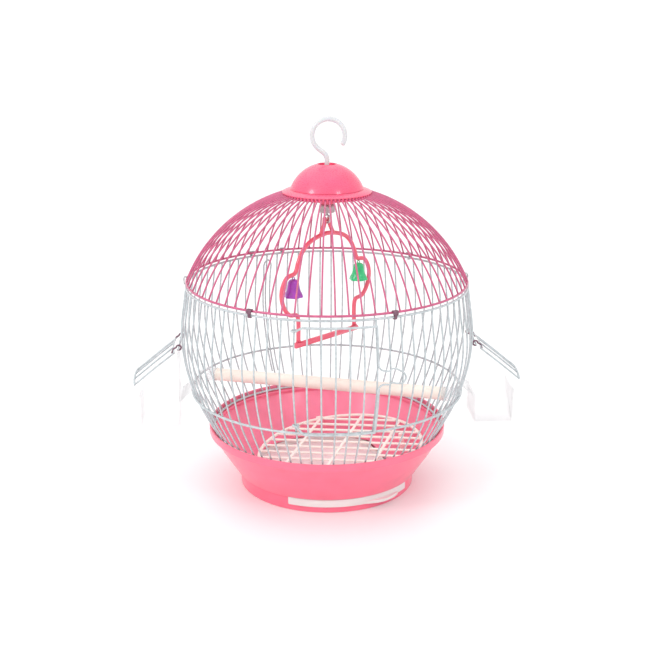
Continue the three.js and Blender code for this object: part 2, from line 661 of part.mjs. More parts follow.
function hookGeometry() {
  const loopZ = capTop + HOOK_RISE;
  const loop = new CircleArc(new THREE.Vector3(1.5, 0, loopZ), HOOK_RADIUS, X, Z, HOOK_TIP, 236);
  const points = loop.getPoints(12);
  points.push(new THREE.Vector3(-1.4, 0, loopZ - HOOK_RADIUS - 2.4));
  points.push(new THREE.Vector3(0, 0, loopZ - HOOK_RADIUS - 7));
  points.push(new THREE.Vector3(0, 0, capTop));
  const bend = smoothRod(points, HOOK_WIRE, 22, STEM_SIDES);
  const stem = straightRod(new THREE.Vector3(0, 0, capTop + 1),
    new THREE.Vector3(0, 0, nutBase + 4), HOOK_WIRE, STEM_SIDES);
  return toGeometry(join([bend, stem]));
}

function nutGeometry() {
  const bore = polygonCorner(HOOK_WIRE, STEM_SIDES) / Math.cos(Math.PI / NUT_FACETS) + NUT_PLAY;
  return closedLathe([[1.6, nutBase], [NUT_RADIUS, nutBase], [NUT_RADIUS, nutTop - 1.5],
    [NUT_RADIUS - 1.5, nutTop], [bore, nutTop], [bore, nutBase + 1.2], [1.6, nutBase + 1.2]],
    NUT_FACETS);
}

// ---- Swing, in its own frame: the origin is the pivot and the plane is XZ ----
const LINK_WIRE = 1.1;
const PIN_RADIUS = 1.2;
const linkRing = 4.1;
const pivotZ = nutBase - 8.4;
const linkCentre = linkRing - LINK_WIRE - CLEAR - PIN_RADIUS;

function linkGeometry() {
  const headZ = nutBase - pivotZ + 1.2 + CLEAR;
  const head = new THREE.CylinderGeometry(2.3, 2.3, 1.6, 12).rotateX(Math.PI / 2)
    .translate(0, 0, headZ + 0.8);
  const stem = straightRod(new THREE.Vector3(0, 0, linkCentre + linkRing),
    new THREE.Vector3(0, 0, headZ + 1), LINK_WIRE, 5);
  const ring = eyelet(new THREE.Vector3(0, 0, linkCentre), linkRing, LINK_WIRE, Y, Z, 12);
  return toGeometry(join([head, stem, ...ring]));
}

function swingGeometry() {
  const hoopTop = -46.6;
  const hoopBase = -90;
  const outline = (side) => [
    [0, -13], [14, -15], [27, -19.5], [36, -27], [42, -37], [BELL_REACH - 2.5, hoopTop],
    [58, hoopTop - 3], [SWING_BULGE - 1.5, hoopTop - 12], [SWING_BULGE, -68], [SWING_BULGE - 3, -79],
    [55, hoopBase + 1.5], [SWING_HALF + 2, hoopBase - 1], [SWING_HALF, hoopBase - 6],
    [SWING_HALF, -SWING_DROP + BAR_RADIUS + CLEAR + 0.2],
  ].map(([x, z]) => new THREE.Vector3(side * x, 0, z));
  const parts = [-1, 1].map((side) => smoothRod(outline(side), SWING_WIRE, 24, 5));
  for (const side of [-1, 1]) {
    const prong = side * 3.9;
    parts.push(straightRod(new THREE.Vector3(prong, 0, 2.6), new THREE.Vector3(side * 5.5, 0, -13), 1.7));
    parts.push(box([7, 2 * SWING_WIRE, 3], [side * SWING_HALF, 0, -SWING_DROP + BAR_RADIUS + CLEAR + 1.5]));
  }
  parts.push(straightRod(new THREE.Vector3(-4, 0, 0), new THREE.Vector3(4, 0, 0), PIN_RADIUS));
  return toGeometry(join(parts));
}

function bellGeometry() {
  // The bell hangs from the origin by its crown.
  const top = -SWING_WIRE - CLEAR - 0.3;
  const base = top - BELL_HEIGHT;
  return lathe([
    [0, top - 2.5], [3.6, top - 4], [5, top - 8], [6, base + 7], [BELL_RADIUS - 1.4, base],
    [BELL_RADIUS, base], [BELL_RADIUS - 0.6, base + 2.4], [7.2, base + 7.5], [6.2, top - 7.4],
    [4.6, top - 2.6], [0, top],
  ], 14);
}

function barGeometry() {
  return new THREE.CylinderGeometry(BAR_RADIUS, BAR_RADIUS, 2 * SWING_HALF + 9, 12)
    .rotateZ(Math.PI / 2).translate(0, 0, -SWING_DROP);
}

// ---- Perch, in its own frame along X ----
const perchLevel = girdle.z + 1.2;
const perchEnd = bellyRadius(perchLevel - PERCH_RADIUS - PERCH_SLEEVE) - WIRE_REACH - CLEAR - 0.4;
const perchHalf = perchEnd - PERCH_CAP_LENGTH;

function perchGeometry() {
  return new THREE.CylinderGeometry(PERCH_RADIUS, PERCH_RADIUS, 2 * perchHalf, 20).rotateZ(Math.PI / 2);
}

function perchCapGeometry() {
  const from = perchHalf + CLEAR;
  const sleeve = PERCH_RADIUS + PERCH_SLEEVE;
  const plug = new THREE.CylinderGeometry(sleeve, sleeve, perchEnd - from, 20)
    .rotateZ(Math.PI / 2).translate((from + perchEnd) / 2, 0, 0);
  const gap = 2 * girdle.radius * Math.sin(rad(WIRE_PITCH / 2)) - 2 * WIRE_RADIUS;
  const width = gap - 3;
  const reach = girdleRingRadius + RING_RADIUS;
  const rest = RING_RADIUS + CLEAR - (perchLevel - girdle.z);
  const tongue = box([reach - perchEnd + 3, width, 3], [(reach + perchEnd - 3) / 2, 0, rest + 1.5]);
  return toGeometry(join([plug, tongue]));
}

// ---- Clips that join the two rings, in their own frame at the front ----
function clipGeometry() {
  const sheet = 0.9;
  const reach = topRing.radius + RING_RADIUS + CLEAR;
  const low = topRing.z - RING_RADIUS - CLEAR;
  const high = domeRing.z + RING_RADIUS + CLEAR;
  const depth = 2 * RING_RADIUS + CLEAR;
  const shape = new THREE.Shape([
    [reach - depth, low - sheet], [reach + sheet, low - sheet], [reach + sheet, high + sheet],
    [reach - depth, high + sheet], [reach - depth, high], [reach, high], [reach, low], [reach - depth, low],
  ].map((point) => new THREE.Vector2(...point)));
  const width = 7;
  return new THREE.ExtrudeGeometry(shape, { depth: width, bevelEnabled: false })
    .rotateX(Math.PI / 2).translate(0, width / 2, 0).rotateZ(-Math.PI / 2);
}

function foodClipGeometry() {
  // A hairpin inside the wires: up one side, over the top and down the other.
  const inside = -(2 * WIRE_RADIUS + CLEAR + 0.2);
  const low = footRing.z + 20;
  const high = topRing.z - 10;
  const levels = [0, 0.2, 0.45, 0.75, 1].map((t) => low + (high - low) * t);
  const leg = (azimuth) => levels.map((z) => onCylinder(bellyRadius(z) + inside, azimuth, z));
  const top = onCylinder(bellyRadius(high + 4) + inside, 0, high + 4);
  return smoothRod([...leg(-1.6), top, ...leg(1.6).reverse()], WIRE_RADIUS, 12, 4);
}

// ---- Assembly ----
const cage = new THREE.Group();

function place(parent, name, geometry, material) {
  const mesh = new THREE.Mesh(geometry, material);
  mesh.name = name;
  parent.add(mesh);
  return mesh;
}

place(cage, 'tub', tubGeometry(), PINK);
place(cage, 'tray', trayGeometry(), OFF_WHITE).rotation.z = rad(TRAY_AZIMUTH);

const grilleSeat = new THREE.Group();
grilleSeat.rotation.z = rad(TRAY_AZIMUTH);
cage.add(grilleSeat);
const grille = place(grilleSeat, 'grille', grilleGeometry(), CREAM);
grille.position.set(GRILLE_SHIFT, 0, grilleLevel);
grille.rotation.y = -rad(GRILLE_TILT);

// Belly panels run round from the front; each entry is its name, its width in wires and its builder.
const bellyPanels = [
  ['front', 7, frontPanel], ['front_right', 6, plainPanel], ['mid_right', 5, plainPanel],
  ['feeder_right', 7, feederPanel], ['back_right', 6, plainPanel], ['rear_right', 6, plainPanel],
  ['rear', 5, plainPanel], ['rear_left', 6, plainPanel], ['back_left', 6, plainPanel],
  ['feeder_left', 7, feederPanel], ['mid_left', 5, plainPanel], ['front_left', 6, plainPanel],
];
let edge = (-bellyPanels[0][1] * WIRE_PITCH) / 2;
for (const [name, wires, build] of bellyPanels) {
  const half = (wires * WIRE_PITCH) / 2;
  place(cage, `belly_${name}`, build(half), WHITE_WIRE).rotation.z = rad(edge + half);
  edge += 2 * half;
}

const DOME_PANELS = 12;
const domeHalf = 180 / DOME_PANELS;
for (let i = 0; i < DOME_PANELS; i++) {
  const name = `dome_${String(i + 1).padStart(2, '0')}`;
  place(cage, name, domePanel(domeHalf), DOME_PINK).rotation.z = rad(2 * domeHalf * i - WIRE_PITCH / 2);
}

place(cage, 'collar', collarGeometry(), PINK);
place(cage, 'cap', capGeometry(), PINK);
place(cage, 'hook', hookGeometry(), FROSTED);
place(cage, 'hanger_nut', nutGeometry(), FROSTED);
place(cage, 'front_door', doorGeometry(), WHITE_WIRE);

for (const [side, turn] of [['right', 0], ['left', 180]]) {
  const feeder = new THREE.Group();
  feeder.rotation.z = rad(turn);
  cage.add(feeder);
  const flap = place(feeder, `flap_${side}`, flapGeometry(), WHITE_WIRE);
  flap.position.set(flapHinge.x, 0, flapHinge.z);
  flap.rotation.y = rad(FLAP_SLOPE);
  place(feeder, `cup_${side}`, cupGeometry(), CLEAR_PLASTIC);
}

const swing = new THREE.Group();
swing.position.z = pivotZ;
swing.rotation.z = rad(SWING_TURN);
cage.add(swing);
place(swing, 'swing_link', linkGeometry(), STEEL);
place(swing, 'swing_frame', swingGeometry(), CORAL);
place(swing, 'swing_bar', barGeometry(), CORAL);
place(swing, 'bell_purple', bellGeometry(), PURPLE).position.set(-BELL_REACH, 0, -48);
place(swing, 'bell_green', bellGeometry(), GREEN).position.set(BELL_REACH, 0, -48);

const perch = new THREE.Group();
perch.position.z = perchLevel;
perch.rotation.z = rad(PERCH_AZIMUTH - 90);
cage.add(perch);
place(perch, 'perch', perchGeometry(), WOOD);
place(perch, 'perch_end_right', perchCapGeometry(), CLEAR_PLASTIC);
place(perch, 'perch_end_left', perchCapGeometry(), CLEAR_PLASTIC).rotation.z = Math.PI;

const clipAzimuths = [-32.5, 22.5, 92.5, 137.5, -162.5, -147.5, -92.5];
clipAzimuths.forEach((azimuth, i) => {
  place(cage, `clip_${i + 1}`, clipGeometry(), STEEL).rotation.z = rad(azimuth);
});
place(cage, 'food_clip', foodClipGeometry(), STEEL).rotation.z = rad(-155);

export default cage;
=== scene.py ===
"""Ball-shaped hanging bird cage: the looks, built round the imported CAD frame. Metres, +Z up."""
import math

import bmesh
import bpy
from mathutils import Matrix, Vector

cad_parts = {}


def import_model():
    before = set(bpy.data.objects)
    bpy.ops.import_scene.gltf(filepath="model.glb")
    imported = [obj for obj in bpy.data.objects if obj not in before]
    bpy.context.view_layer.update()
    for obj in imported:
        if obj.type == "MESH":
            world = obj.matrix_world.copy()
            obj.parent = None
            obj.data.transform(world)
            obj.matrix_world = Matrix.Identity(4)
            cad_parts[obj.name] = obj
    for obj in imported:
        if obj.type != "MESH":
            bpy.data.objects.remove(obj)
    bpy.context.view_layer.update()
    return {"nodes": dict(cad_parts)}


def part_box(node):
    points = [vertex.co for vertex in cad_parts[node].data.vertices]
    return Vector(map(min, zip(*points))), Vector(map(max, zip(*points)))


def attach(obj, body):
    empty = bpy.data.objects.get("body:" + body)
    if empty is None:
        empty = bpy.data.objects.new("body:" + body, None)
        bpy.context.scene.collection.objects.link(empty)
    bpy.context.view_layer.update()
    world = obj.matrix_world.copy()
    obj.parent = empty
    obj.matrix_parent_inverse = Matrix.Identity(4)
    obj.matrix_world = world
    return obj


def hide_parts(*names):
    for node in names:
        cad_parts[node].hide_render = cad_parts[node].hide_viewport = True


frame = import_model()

MM = 0.001

# ---- Sizes, in millimetres: the CAD part's, with the round wires a little thinner ----
WIRE_PITCH = 5
WIRE = 0.86
RING = 1.2
FOOT_RING = (119.0, 62.25)        # radius and height of each ring's centreline
GIRDLE_WIRE = (139.2, 104.15)
GIRDLE_RING = (141.0, 104.15)
BELLY = (150.4, 157.25)
TOP_RING = (144.3, 215.75)
DOME_RING = (143.5, 219.85)
CROWN = (43.6, 308.65)
COMB_RADIUS = 42.6                # where the dome wires end, under the collar's brim
DOOR_HALF = 15
DOOR_OFFSET = 3.4
DOOR_TOP = 209.75
LATCH_Z = GIRDLE_RING[1] + 57.5
FEEDER_HALF = 10
FLAP_HINGE = (152.5, 154.25)
FLAP_LENGTH = 60
FLAP_WIDTH = 58
FLAP_SLOPE = 39
FLAP_BOW = 3
TUB_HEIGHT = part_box("tub")[1].z / MM
RIM_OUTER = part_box("tub")[1].x / MM
WALL = 1.8
RIM_INNER = RIM_OUTER - WALL
LEDGE_Z = 60.3
FOOT_RADIUS = 92
FOOT_HEIGHT = 15
DECK_OUTER = 93.4
DECK_INNER = DECK_OUTER - 15.4
DECK_Z = 17
WING_EDGE = 64.2                  # the deck plate reaches in to here beside the tray
TRAY_TURN = 15
TRAY_HALF = 63
TRAY_BACK = 80
TRAY_PROUD = 1.4
TRAY_WALL = 1.6
TRAY_LIFT = 6.5
TRAY_TOP = 14.3
GRILLE_RADIUS = 90
GRILLE_SHIFT = 15                 # the loose grille lies off centre, with its right side higher
GRILLE_TILT = 6.5
GRILLE_SPIN = -36                 # its bars' turn from the line of the tilt
GRILLE_RISE = 3.2
GRILLE_THICK = 2.4
GRILLE_BAR = 3.4
GRILLE_PITCH = 15
GRILLE_CROSS_PITCH = 47
CAP_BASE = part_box("cap")[0].z / MM + 15.65
CAP_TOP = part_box("cap")[1].z / MM
CAP_RADIUS = 37
NUT_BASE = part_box("hanger_nut")[0].z / MM
NUT_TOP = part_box("hanger_nut")[1].z / MM
PIVOT_Z = NUT_BASE - 8.4
SWING_TURN = 44
SWING_DROP = 122.6
PERCH_TURN = -17.5
PERCH_Z = 105.35
PERCH_RADIUS = 6.7
PERCH_HALF = 124.9
PERCH_END = 134.5
CLIP_COUNT = 7


# ---- Geometry helpers: everything below is in millimetres until a piece is finished ----
def polar(radius, azimuth, z):
    """A point at an azimuth in degrees from -Y towards +X."""
    a = math.radians(azimuth)
    return Vector((radius * math.sin(a), -radius * math.cos(a), z))


def catmull(points, per_span):
    """A centripetal Catmull-Rom curve through the points."""
    points = [Vector(p) for p in points]
    padded = [2 * points[0] - points[1], *points, 2 * points[-1] - points[-2]]
    out = []
    for a, b, c, d in zip(padded, padded[1:], padded[2:], padded[3:]):
        t0, t1, t2 = ((q - p).length ** 0.5 for p, q in ((a, b), (b, c), (c, d)))
        m1 = ((b - a) / t0 - (c - a) / (t0 + t1) + (c - b) / t1) * t1
        m2 = ((c - b) / t1 - (d - b) / (t1 + t2) + (d - c) / t2) * t1
        for i in range(per_span):
            t = i / per_span
            h = (2 * t**3 - 3 * t**2 + 1, t**3 - 2 * t**2 + t, 3 * t**2 - 2 * t**3, t**3 - t**2)
            out.append(h[0] * b + h[1] * m1 + h[2] * c + h[3] * m2)
    return [*out, points[-1]]


def arc(centre, radius, u, v, start, end, steps):
    centre, u, v = Vector(centre), Vector(u), Vector(v)
    angles = [math.radians(start + (end - start) * i / steps) for i in range(steps + 1)]
    return [centre + u * radius * math.cos(a) + v * radius * math.sin(a) for a in angles]


BELLY_LINE = catmull([(r, 0, z) for r, z in (FOOT_RING, GIRDLE_WIRE, BELLY, TOP_RING)], 24)


def belly_radius(z):
    """Radius of the ball's wires at a height between the foot ring and the top ring."""
    for p, q in zip(BELLY_LINE, BELLY_LINE[1:]):
        if z <= q.z:
            return p.x + (q.x - p.x) * max(0, z - p.z) / (q.z - p.z)
    return BELLY_LINE[-1].x


def spread(start, end, steps):
    return [start + (end - start) * i / steps for i in range(steps + 1)]


class Builder:
    """Collects tubes, turned shapes and blocks into one mesh."""

    def __init__(self, matrix=None):
        self.verts, self.faces = [], []
        self.matrix = matrix or Matrix()

    def add(self, verts, faces):
        base = len(self.verts)
        self.verts += [self.matrix @ Vector(v) for v in verts]
        self.faces += [[base + i for i in face] for face in faces]

    def tube(self, points, radius, sides=8, closed=False, tip=0.0):
        """A round wire along the points; tip is the share of its radius that the ends are rounded by."""
        points = [Vector(p) for p in points]
        radii = [radius] * len(points)
        if tip and not closed:
            for end, inner in ((0, 1), (-1, -2)):
                out = (points[end] - points[inner]).normalized()
                extra = [(points[end] + out * radius * tip * math.sin(a), radius * math.cos(a))
                         for a in (math.radians(d) for d in (30, 60, 82))]
                if end == 0:
                    points = [p for p, _ in reversed(extra)] + points
                    radii = [r for _, r in reversed(extra)] + radii
                else:
                    points = points + [p for p, _ in extra]
                    radii = radii + [r for _, r in extra]
        n = len(points)
        tangents = []
        for i in range(n):
            before = points[i - 1] if closed or i else points[0]
            after = points[(i + 1) % n] if closed or i < n - 1 else points[-1]
            tangents.append((after - before).normalized())
        side = tangents[0].orthogonal().normalized()
        verts, faces = [], []
        for p, t, r in zip(points, tangents, radii):
            side = (side - t * side.dot(t)).normalized()
            up = t.cross(side)
            for k in range(sides):
                a = 2 * math.pi * k / sides
                verts.append(p + side * r * math.cos(a) + up * r * math.sin(a))
        for i in range(n if closed else n - 1):
            j = (i + 1) % n
            for k in range(sides):
                m = (k + 1) % sides
                faces.append([i * sides + k, i * sides + m, j * sides + m, j * sides + k])
        if not closed:
            faces.append(list(range(sides))[::-1])
            faces.append([(n - 1) * sides + k for k in range(sides)])
        self.add(verts, faces)

    def ring(self, radius, z, wire, steps=144):
        self.tube([polar(radius, a, z) for a in spread(0, 360, steps)[:-1]], wire, closed=True)

    def lathe(self, profile, segments=96, closed=True):
        """A profile of radius and height, turned about Z. It runs up its outer side."""
        n = len(profile)
        verts = [polar(r, 360 * i / segments, z) for i in range(segments) for r, z in profile]
        faces = []
        for i in range(segments):
            j = (i + 1) % segments
            for k in range(n if closed else n - 1):
                m = (k + 1) % n
                faces.append([i * n + k, j * n + k, j * n + m, i * n + m])
        self.add(verts, faces)

    def prism(self, outline, low, high):
        """A flat outline, drawn anticlockwise in XY, raised from low to high."""
        n = len(outline)
        verts = [(x, y, low) for x, y in outline] + [(x, y, high) for x, y in outline]
        faces = [list(range(n))[::-1], [n + i for i in range(n)]]
        faces += [[i, (i + 1) % n, n + (i + 1) % n, n + i] for i in range(n)]
        self.add(verts, faces)

    def block(self, size, centre):
        x, y, z = (s / 2 for s in size)
        cx, cy, cz = centre
        self.prism([(cx - x, cy - y), (cx + x, cy - y), (cx + x, cy + y), (cx - x, cy + y)], cz - z, cz + z)

    def finish(self, name, smooth=True):
        mesh = bpy.data.meshes.new(name)
        mesh.from_pydata([v * MM for v in self.verts], [], self.faces)
        bm = bmesh.new()
        bm.from_mesh(mesh)
        bmesh.ops.remove_doubles(bm, verts=bm.verts, dist=1e-7)
        bmesh.ops.dissolve_degenerate(bm, edges=bm.edges, dist=1e-7)
        bmesh.ops.recalc_face_normals(bm, faces=bm.faces)
        bm.to_mesh(mesh)
        bm.free()
        for polygon in mesh.polygons:
            polygon.use_smooth = smooth
        obj = bpy.data.objects.new(name, mesh)
        bpy.context.scene.collection.objects.link(obj)
        return obj


def rounded(profile, radius, steps=4, closed=True):
    """The profile with its corners turned into small curves, no larger than its edges allow."""
    out = []
    n = len(profile)
    for i, point in enumerate(profile):
        v = Vector(point)
        if not closed and i in (0, n - 1):
            out.append((v.x, v.y))
            continue
        p, q = Vector(profile[i - 1]), Vector(profile[(i + 1) % n])
        reach = min(radius, 0.45 * (p - v).length, 0.45 * (q - v).length)
        a, b = v + (p - v).normalized() * reach, v + (q - v).normalized() * reach
        for k in range(steps + 1):
            t = k / steps
            c = a * (1 - t) ** 2 + v * 2 * t * (1 - t) + b * t**2
            out.append((c.x, c.y))
    return out


def applied(obj):
    """Turns the object's modifiers into mesh."""
    bpy.context.view_layer.update()
    graph = bpy.context.evaluated_depsgraph_get()
    mesh = bpy.data.meshes.new_from_object(obj.evaluated_get(graph))
    obj.modifiers.clear()
    obj.data = mesh


def boolean(obj, other, operation="DIFFERENCE"):
    modifier = obj.modifiers.new("cut", "BOOLEAN")
    modifier.operation = operation
    modifier.object = other
    modifier.solver = "EXACT"
    applied(obj)
    bpy.data.objects.remove(other)
    return obj


def bevelled(obj, width, segments=2, angle=35):
    modifier = obj.modifiers.new("edges", "BEVEL")
    modifier.width = width * MM
    modifier.segments = segments
    modifier.limit_method = "ANGLE"
    modifier.angle_limit = math.radians(angle)
    applied(obj)
    return soften(obj, angle)


def soften(obj, angle=35):
    """Smooth shading, with edges sharper than angle kept crisp."""
    bm = bmesh.new()
    bm.from_mesh(obj.data)
    limit = math.radians(angle)
    for edge in bm.edges:
        if len(edge.link_faces) == 2:
            edge.smooth = edge.calc_face_angle(0) < limit
    for face in bm.faces:
        face.smooth = True
    bm.to_mesh(obj.data)
    bm.free()
    return obj


# ---- Materials ----
def tint(color, factor):
    return (*(min(1.0, c * factor) for c in color), 1)


def surface(name, color, roughness, shade=0.05, scale=60, grain=900, bump=0.04, coat=0.0, metallic=0.0,
            transmission=0.0, subsurface=0.0, stretch=(1, 1, 1), turn=0.0):
    """A procedural finish: broad colour drift under a fine surface grain."""
    mat = bpy.data.materials.new(name)
    mat.use_nodes = True
    nodes, links = mat.node_tree.nodes, mat.node_tree.links
    bsdf = nodes["Principled BSDF"]
    bsdf.inputs["Metallic"].default_value = metallic
    bsdf.inputs["Coat Weight"].default_value = coat
    bsdf.inputs["Coat Roughness"].default_value = 0.08
    bsdf.inputs["Transmission Weight"].default_value = transmission
    bsdf.inputs["Subsurface Weight"].default_value = subsurface
    bsdf.inputs["Subsurface Scale"].default_value = 0.004
    coord = nodes.new("ShaderNodeTexCoord")
    mapping = nodes.new("ShaderNodeMapping")
    mapping.inputs["Rotation"].default_value = (0, 0, math.radians(turn))
    mapping.inputs["Scale"].default_value = stretch
    links.new(coord.outputs["Object"], mapping.inputs["Vector"])
    drift = nodes.new("ShaderNodeTexNoise")
    drift.inputs["Scale"].default_value = scale
    drift.inputs["Detail"].default_value = 4
    links.new(mapping.outputs["Vector"], drift.inputs["Vector"])
    mix = nodes.new("ShaderNodeMix")
    mix.data_type = "RGBA"
    mix.inputs["A"].default_value = tint(color, 1 - shade)
    mix.inputs["B"].default_value = tint(color, 1 + shade)
    contrast = nodes.new("ShaderNodeMapRange")
    contrast.inputs["From Min"].default_value = 0.3
    contrast.inputs["From Max"].default_value = 0.7
    links.new(drift.outputs["Fac"], contrast.inputs["Value"])
    links.new(contrast.outputs["Result"], mix.inputs["Factor"])
    links.new(mix.outputs["Result"], bsdf.inputs["Base Color"])
    fine = nodes.new("ShaderNodeTexNoise")
    fine.inputs["Scale"].default_value = grain
    fine.inputs["Detail"].default_value = 3
    links.new(mapping.outputs["Vector"], fine.inputs["Vector"])
    polish = nodes.new("ShaderNodeMapRange")
    polish.inputs["To Min"].default_value = roughness * 0.85
    polish.inputs["To Max"].default_value = min(1, roughness * 1.15)
    links.new(fine.outputs["Fac"], polish.inputs["Value"])
    links.new(polish.outputs["Result"], bsdf.inputs["Roughness"])
    relief = nodes.new("ShaderNodeBump")
    relief.inputs["Strength"].default_value = bump
    relief.inputs["Distance"].default_value = 0.0004
    links.new(fine.outputs["Fac"], relief.inputs["Height"])
    links.new(relief.outputs["Normal"], bsdf.inputs["Normal"])
    return mat


def clear_plastic(name, color, face, rim):
    """Thin clear plastic: nearly open face on, milky at its edges and where it turns away."""
    mat = surface(name, color, 0.12, shade=0.02, scale=30, grain=400, bump=0.06, coat=0.4)
    nodes, links = mat.node_tree.nodes, mat.node_tree.links
    facing = nodes.new("ShaderNodeLayerWeight")
    facing.inputs["Blend"].default_value = 0.35
    ramp = nodes.new("ShaderNodeMapRange")
    ramp.inputs["From Min"].default_value = 0.45
    ramp.inputs["To Min"].default_value = face
    ramp.inputs["To Max"].default_value = rim
    links.new(facing.outputs["Facing"], ramp.inputs["Value"])
    links.new(ramp.outputs["Result"], nodes["Principled BSDF"].inputs["Alpha"])
    return mat


PINK = surface("pink_plastic", (0.95, 0.165, 0.265), 0.32, coat=0.25, subsurface=0.12, bump=0.03)
# Painted light: a lighter copy of the pink plastic for the tub's inner walls, deck and floor, lifting the
# shade that falls inside the tub.
PINK_INSIDE_PAINTED_LIGHT = surface("pink_inner_painted_light", (0.97, 0.25, 0.385), 0.34, coat=0.2, subsurface=0.12, bump=0.03)
# Painted shade: a darker copy of the pink plastic for the collar and cap, offsetting the stronger light that
# falls on the top.
PINK_TOP_PAINTED_SHADE = surface("pink_crown_painted_shade", (0.90, 0.10, 0.205), 0.28, coat=0.3, subsurface=0.03, bump=0.03)
PINK_WIRE = surface("pink_wire", (0.56, 0.095, 0.215), 0.32, shade=0.14, scale=220, coat=0.35, bump=0.08)
WHITE_WIRE = surface("white_wire", (0.50, 0.55, 0.57), 0.26, shade=0.16, scale=260, coat=0.5, bump=0.08)
CREAM = surface("cream_plastic", (0.97, 0.90, 0.83), 0.42, shade=0.03, subsurface=0.05)
WHITE = surface("white_plastic", (0.80, 0.77, 0.75), 0.38, shade=0.05, scale=40, subsurface=0.1)
# Painted reflected light: the white plastic tinted pink for the tray's floor, standing in for light bounced
# off the pink tub.
TRAY_FLOOR_PAINTED_GLOW = surface("tray_floor_painted_pink_glow", (0.90, 0.74, 0.76), 0.42, shade=0.1, scale=30)
CORAL = surface("coral_plastic", (0.84, 0.12, 0.19), 0.3, coat=0.4, subsurface=0.05, scale=90)
PURPLE = surface("purple_plastic", (0.36, 0.035, 0.44), 0.2, coat=0.6, shade=0.18, scale=160)
GREEN = surface("green_plastic", (0.02, 0.56, 0.20), 0.2, coat=0.6, shade=0.18, scale=160)
WOOD = surface("perch_wood", (0.92, 0.84, 0.75), 0.55, shade=0.09, scale=26, grain=500, bump=0.25,
               stretch=(0.12, 3.2, 3.2), turn=-PERCH_TURN)
FROSTED = surface("frosted_plastic", (0.74, 0.75, 0.77), 0.28, transmission=0.15, subsurface=0.1, coat=0.4)
GREY_PLASTIC = surface("nut_plastic", (0.60, 0.55, 0.56), 0.35, transmission=0.15, subsurface=0.1)
STEEL = surface("clip_steel", (0.50, 0.50, 0.51), 0.38, shade=0.18, scale=300, grain=1500, bump=0.12,
                metallic=0.85)
# Painted shade: a dark copy of the steel for the flap's hinge curls and the clips on the front, which sit in
# shadow.
STEEL_PAINTED_SHADE = surface("steel_painted_shade", (0.20, 0.10, 0.14), 0.4, shade=0.2, scale=300, grain=1500, bump=0.12,
                     metallic=0.6)
LINK_STEEL = surface("link_steel", (0.66, 0.62, 0.63), 0.35, shade=0.2, scale=300, metallic=0.5)
CLEAR = clear_plastic("clear_plastic", (0.56, 0.54, 0.57), 0.035, 0.60)
CLEAR_CAP = clear_plastic("sleeve_plastic", (0.80, 0.82, 0.84), 0.30, 0.85)


def piece(obj, body, material, slot_name, *nodes):
    obj.data.materials.clear()
    obj.data.materials.append(material)
    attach(obj, body)
    if nodes:
        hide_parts(*nodes)
    return obj


def repaint(obj, material, chosen):
    """Gives the faces that chosen picks a second material: a lighter or tinted copy that paints light or shade
    on them.
    """
    obj.data.materials.append(material)
    for face in obj.data.polygons:
        if chosen(face):
            face.material_index = 1


def faces_inside_tub(face):
    """The faces that look towards the axis, and the deck and floor."""
    across = face.center.x * face.normal.x + face.center.y * face.normal.y
    on_floor = face.normal.z > 0.5 and face.center.z < 0.03
    return across < -0.2 * face.center.xy.length or on_floor


def faces_in_tray(face):
    """The tray's floor, but not the lip at its front."""
    return face.normal.z > 0.9 and face.center.z < 0.012 and face.center.y > -0.08


def nodes_named(prefix):
    return [n for n in frame["nodes"] if n.startswith(prefix)]


# ---- Wire ball ----
def ring_azimuths():
    return range(0, 360, WIRE_PITCH)


def from_front(azimuth):
    return (azimuth + 180) % 360 - 180


def belly_wires():
    build = Builder()
    full = spread(FOOT_RING[1], TOP_RING[1], 22)
    short = spread(FOOT_RING[1], GIRDLE_WIRE[1], 8)
    for azimuth in ring_azimuths():
        behind = abs(from_front(azimuth))
        to_feeder = abs(behind - 90)
        if behind < DOOR_HALF or to_feeder < FEEDER_HALF:
            build.tube([polar(belly_radius(z), azimuth, z) for z in short], WIRE, tip=0.6)
        else:
            build.tube([polar(belly_radius(z), azimuth, z) for z in full], WIRE)
        if to_feeder < FEEDER_HALF:
            build.tube(flap_drop_wire(azimuth), WIRE)
    return build.finish("belly_wires")


def flap_drop_wire(azimuth):
    """A wire above a feeder: from the top ring down to the flap's rail, where it turns out to meet it."""
    side = 1 if from_front(azimuth) > 0 else -1
    off = math.tan(math.radians(from_front(azimuth) * side - 90)) * FLAP_HINGE[0]
    end = Vector((side * FLAP_HINGE[0], off, FLAP_HINGE[1]))
    points = [polar(belly_radius(z), azimuth, z) for z in spread(TOP_RING[1], FLAP_HINGE[1] + 8, 10)]
    return catmull([*points, end], 2)


def belly_rings():
    build = Builder()
    for radius, z in (FOOT_RING, GIRDLE_RING, TOP_RING):
        build.ring(radius, z, RING)
    for side in (1, -1):
        half = FLAP_WIDTH / 2 - 1
        rail = [Vector((side * FLAP_HINGE[0], y, FLAP_HINGE[1])) for y in spread(-half, half, 8)]
        build.tube(rail, WIRE, tip=0.8)
    return build.finish("belly_rings")


DOME_CENTRE = ((CROWN[0] ** 2 + CROWN[1] ** 2 - DOME_RING[0] ** 2 - DOME_RING[1] ** 2)
               / (2 * (CROWN[1] - DOME_RING[1])))
DOME_SPHERE = math.hypot(DOME_RING[0], DOME_RING[1] - DOME_CENTRE)


def dome_wires():
    build = Builder()
    start = math.degrees(math.asin((DOME_RING[1] - DOME_CENTRE) / DOME_SPHERE))
    end = math.degrees(math.acos(COMB_RADIUS / DOME_SPHERE))
    for azimuth in ring_azimuths():
        outward = polar(1, azimuth, 0)
        build.tube(arc((0, 0, DOME_CENTRE), DOME_SPHERE, outward, (0, 0, 1), start, end, 24), WIRE)
    return build.finish("dome_wires")


def dome_ring():
    build = Builder()
    build.ring(*DOME_RING, RING)
    return build.finish("dome_ring")


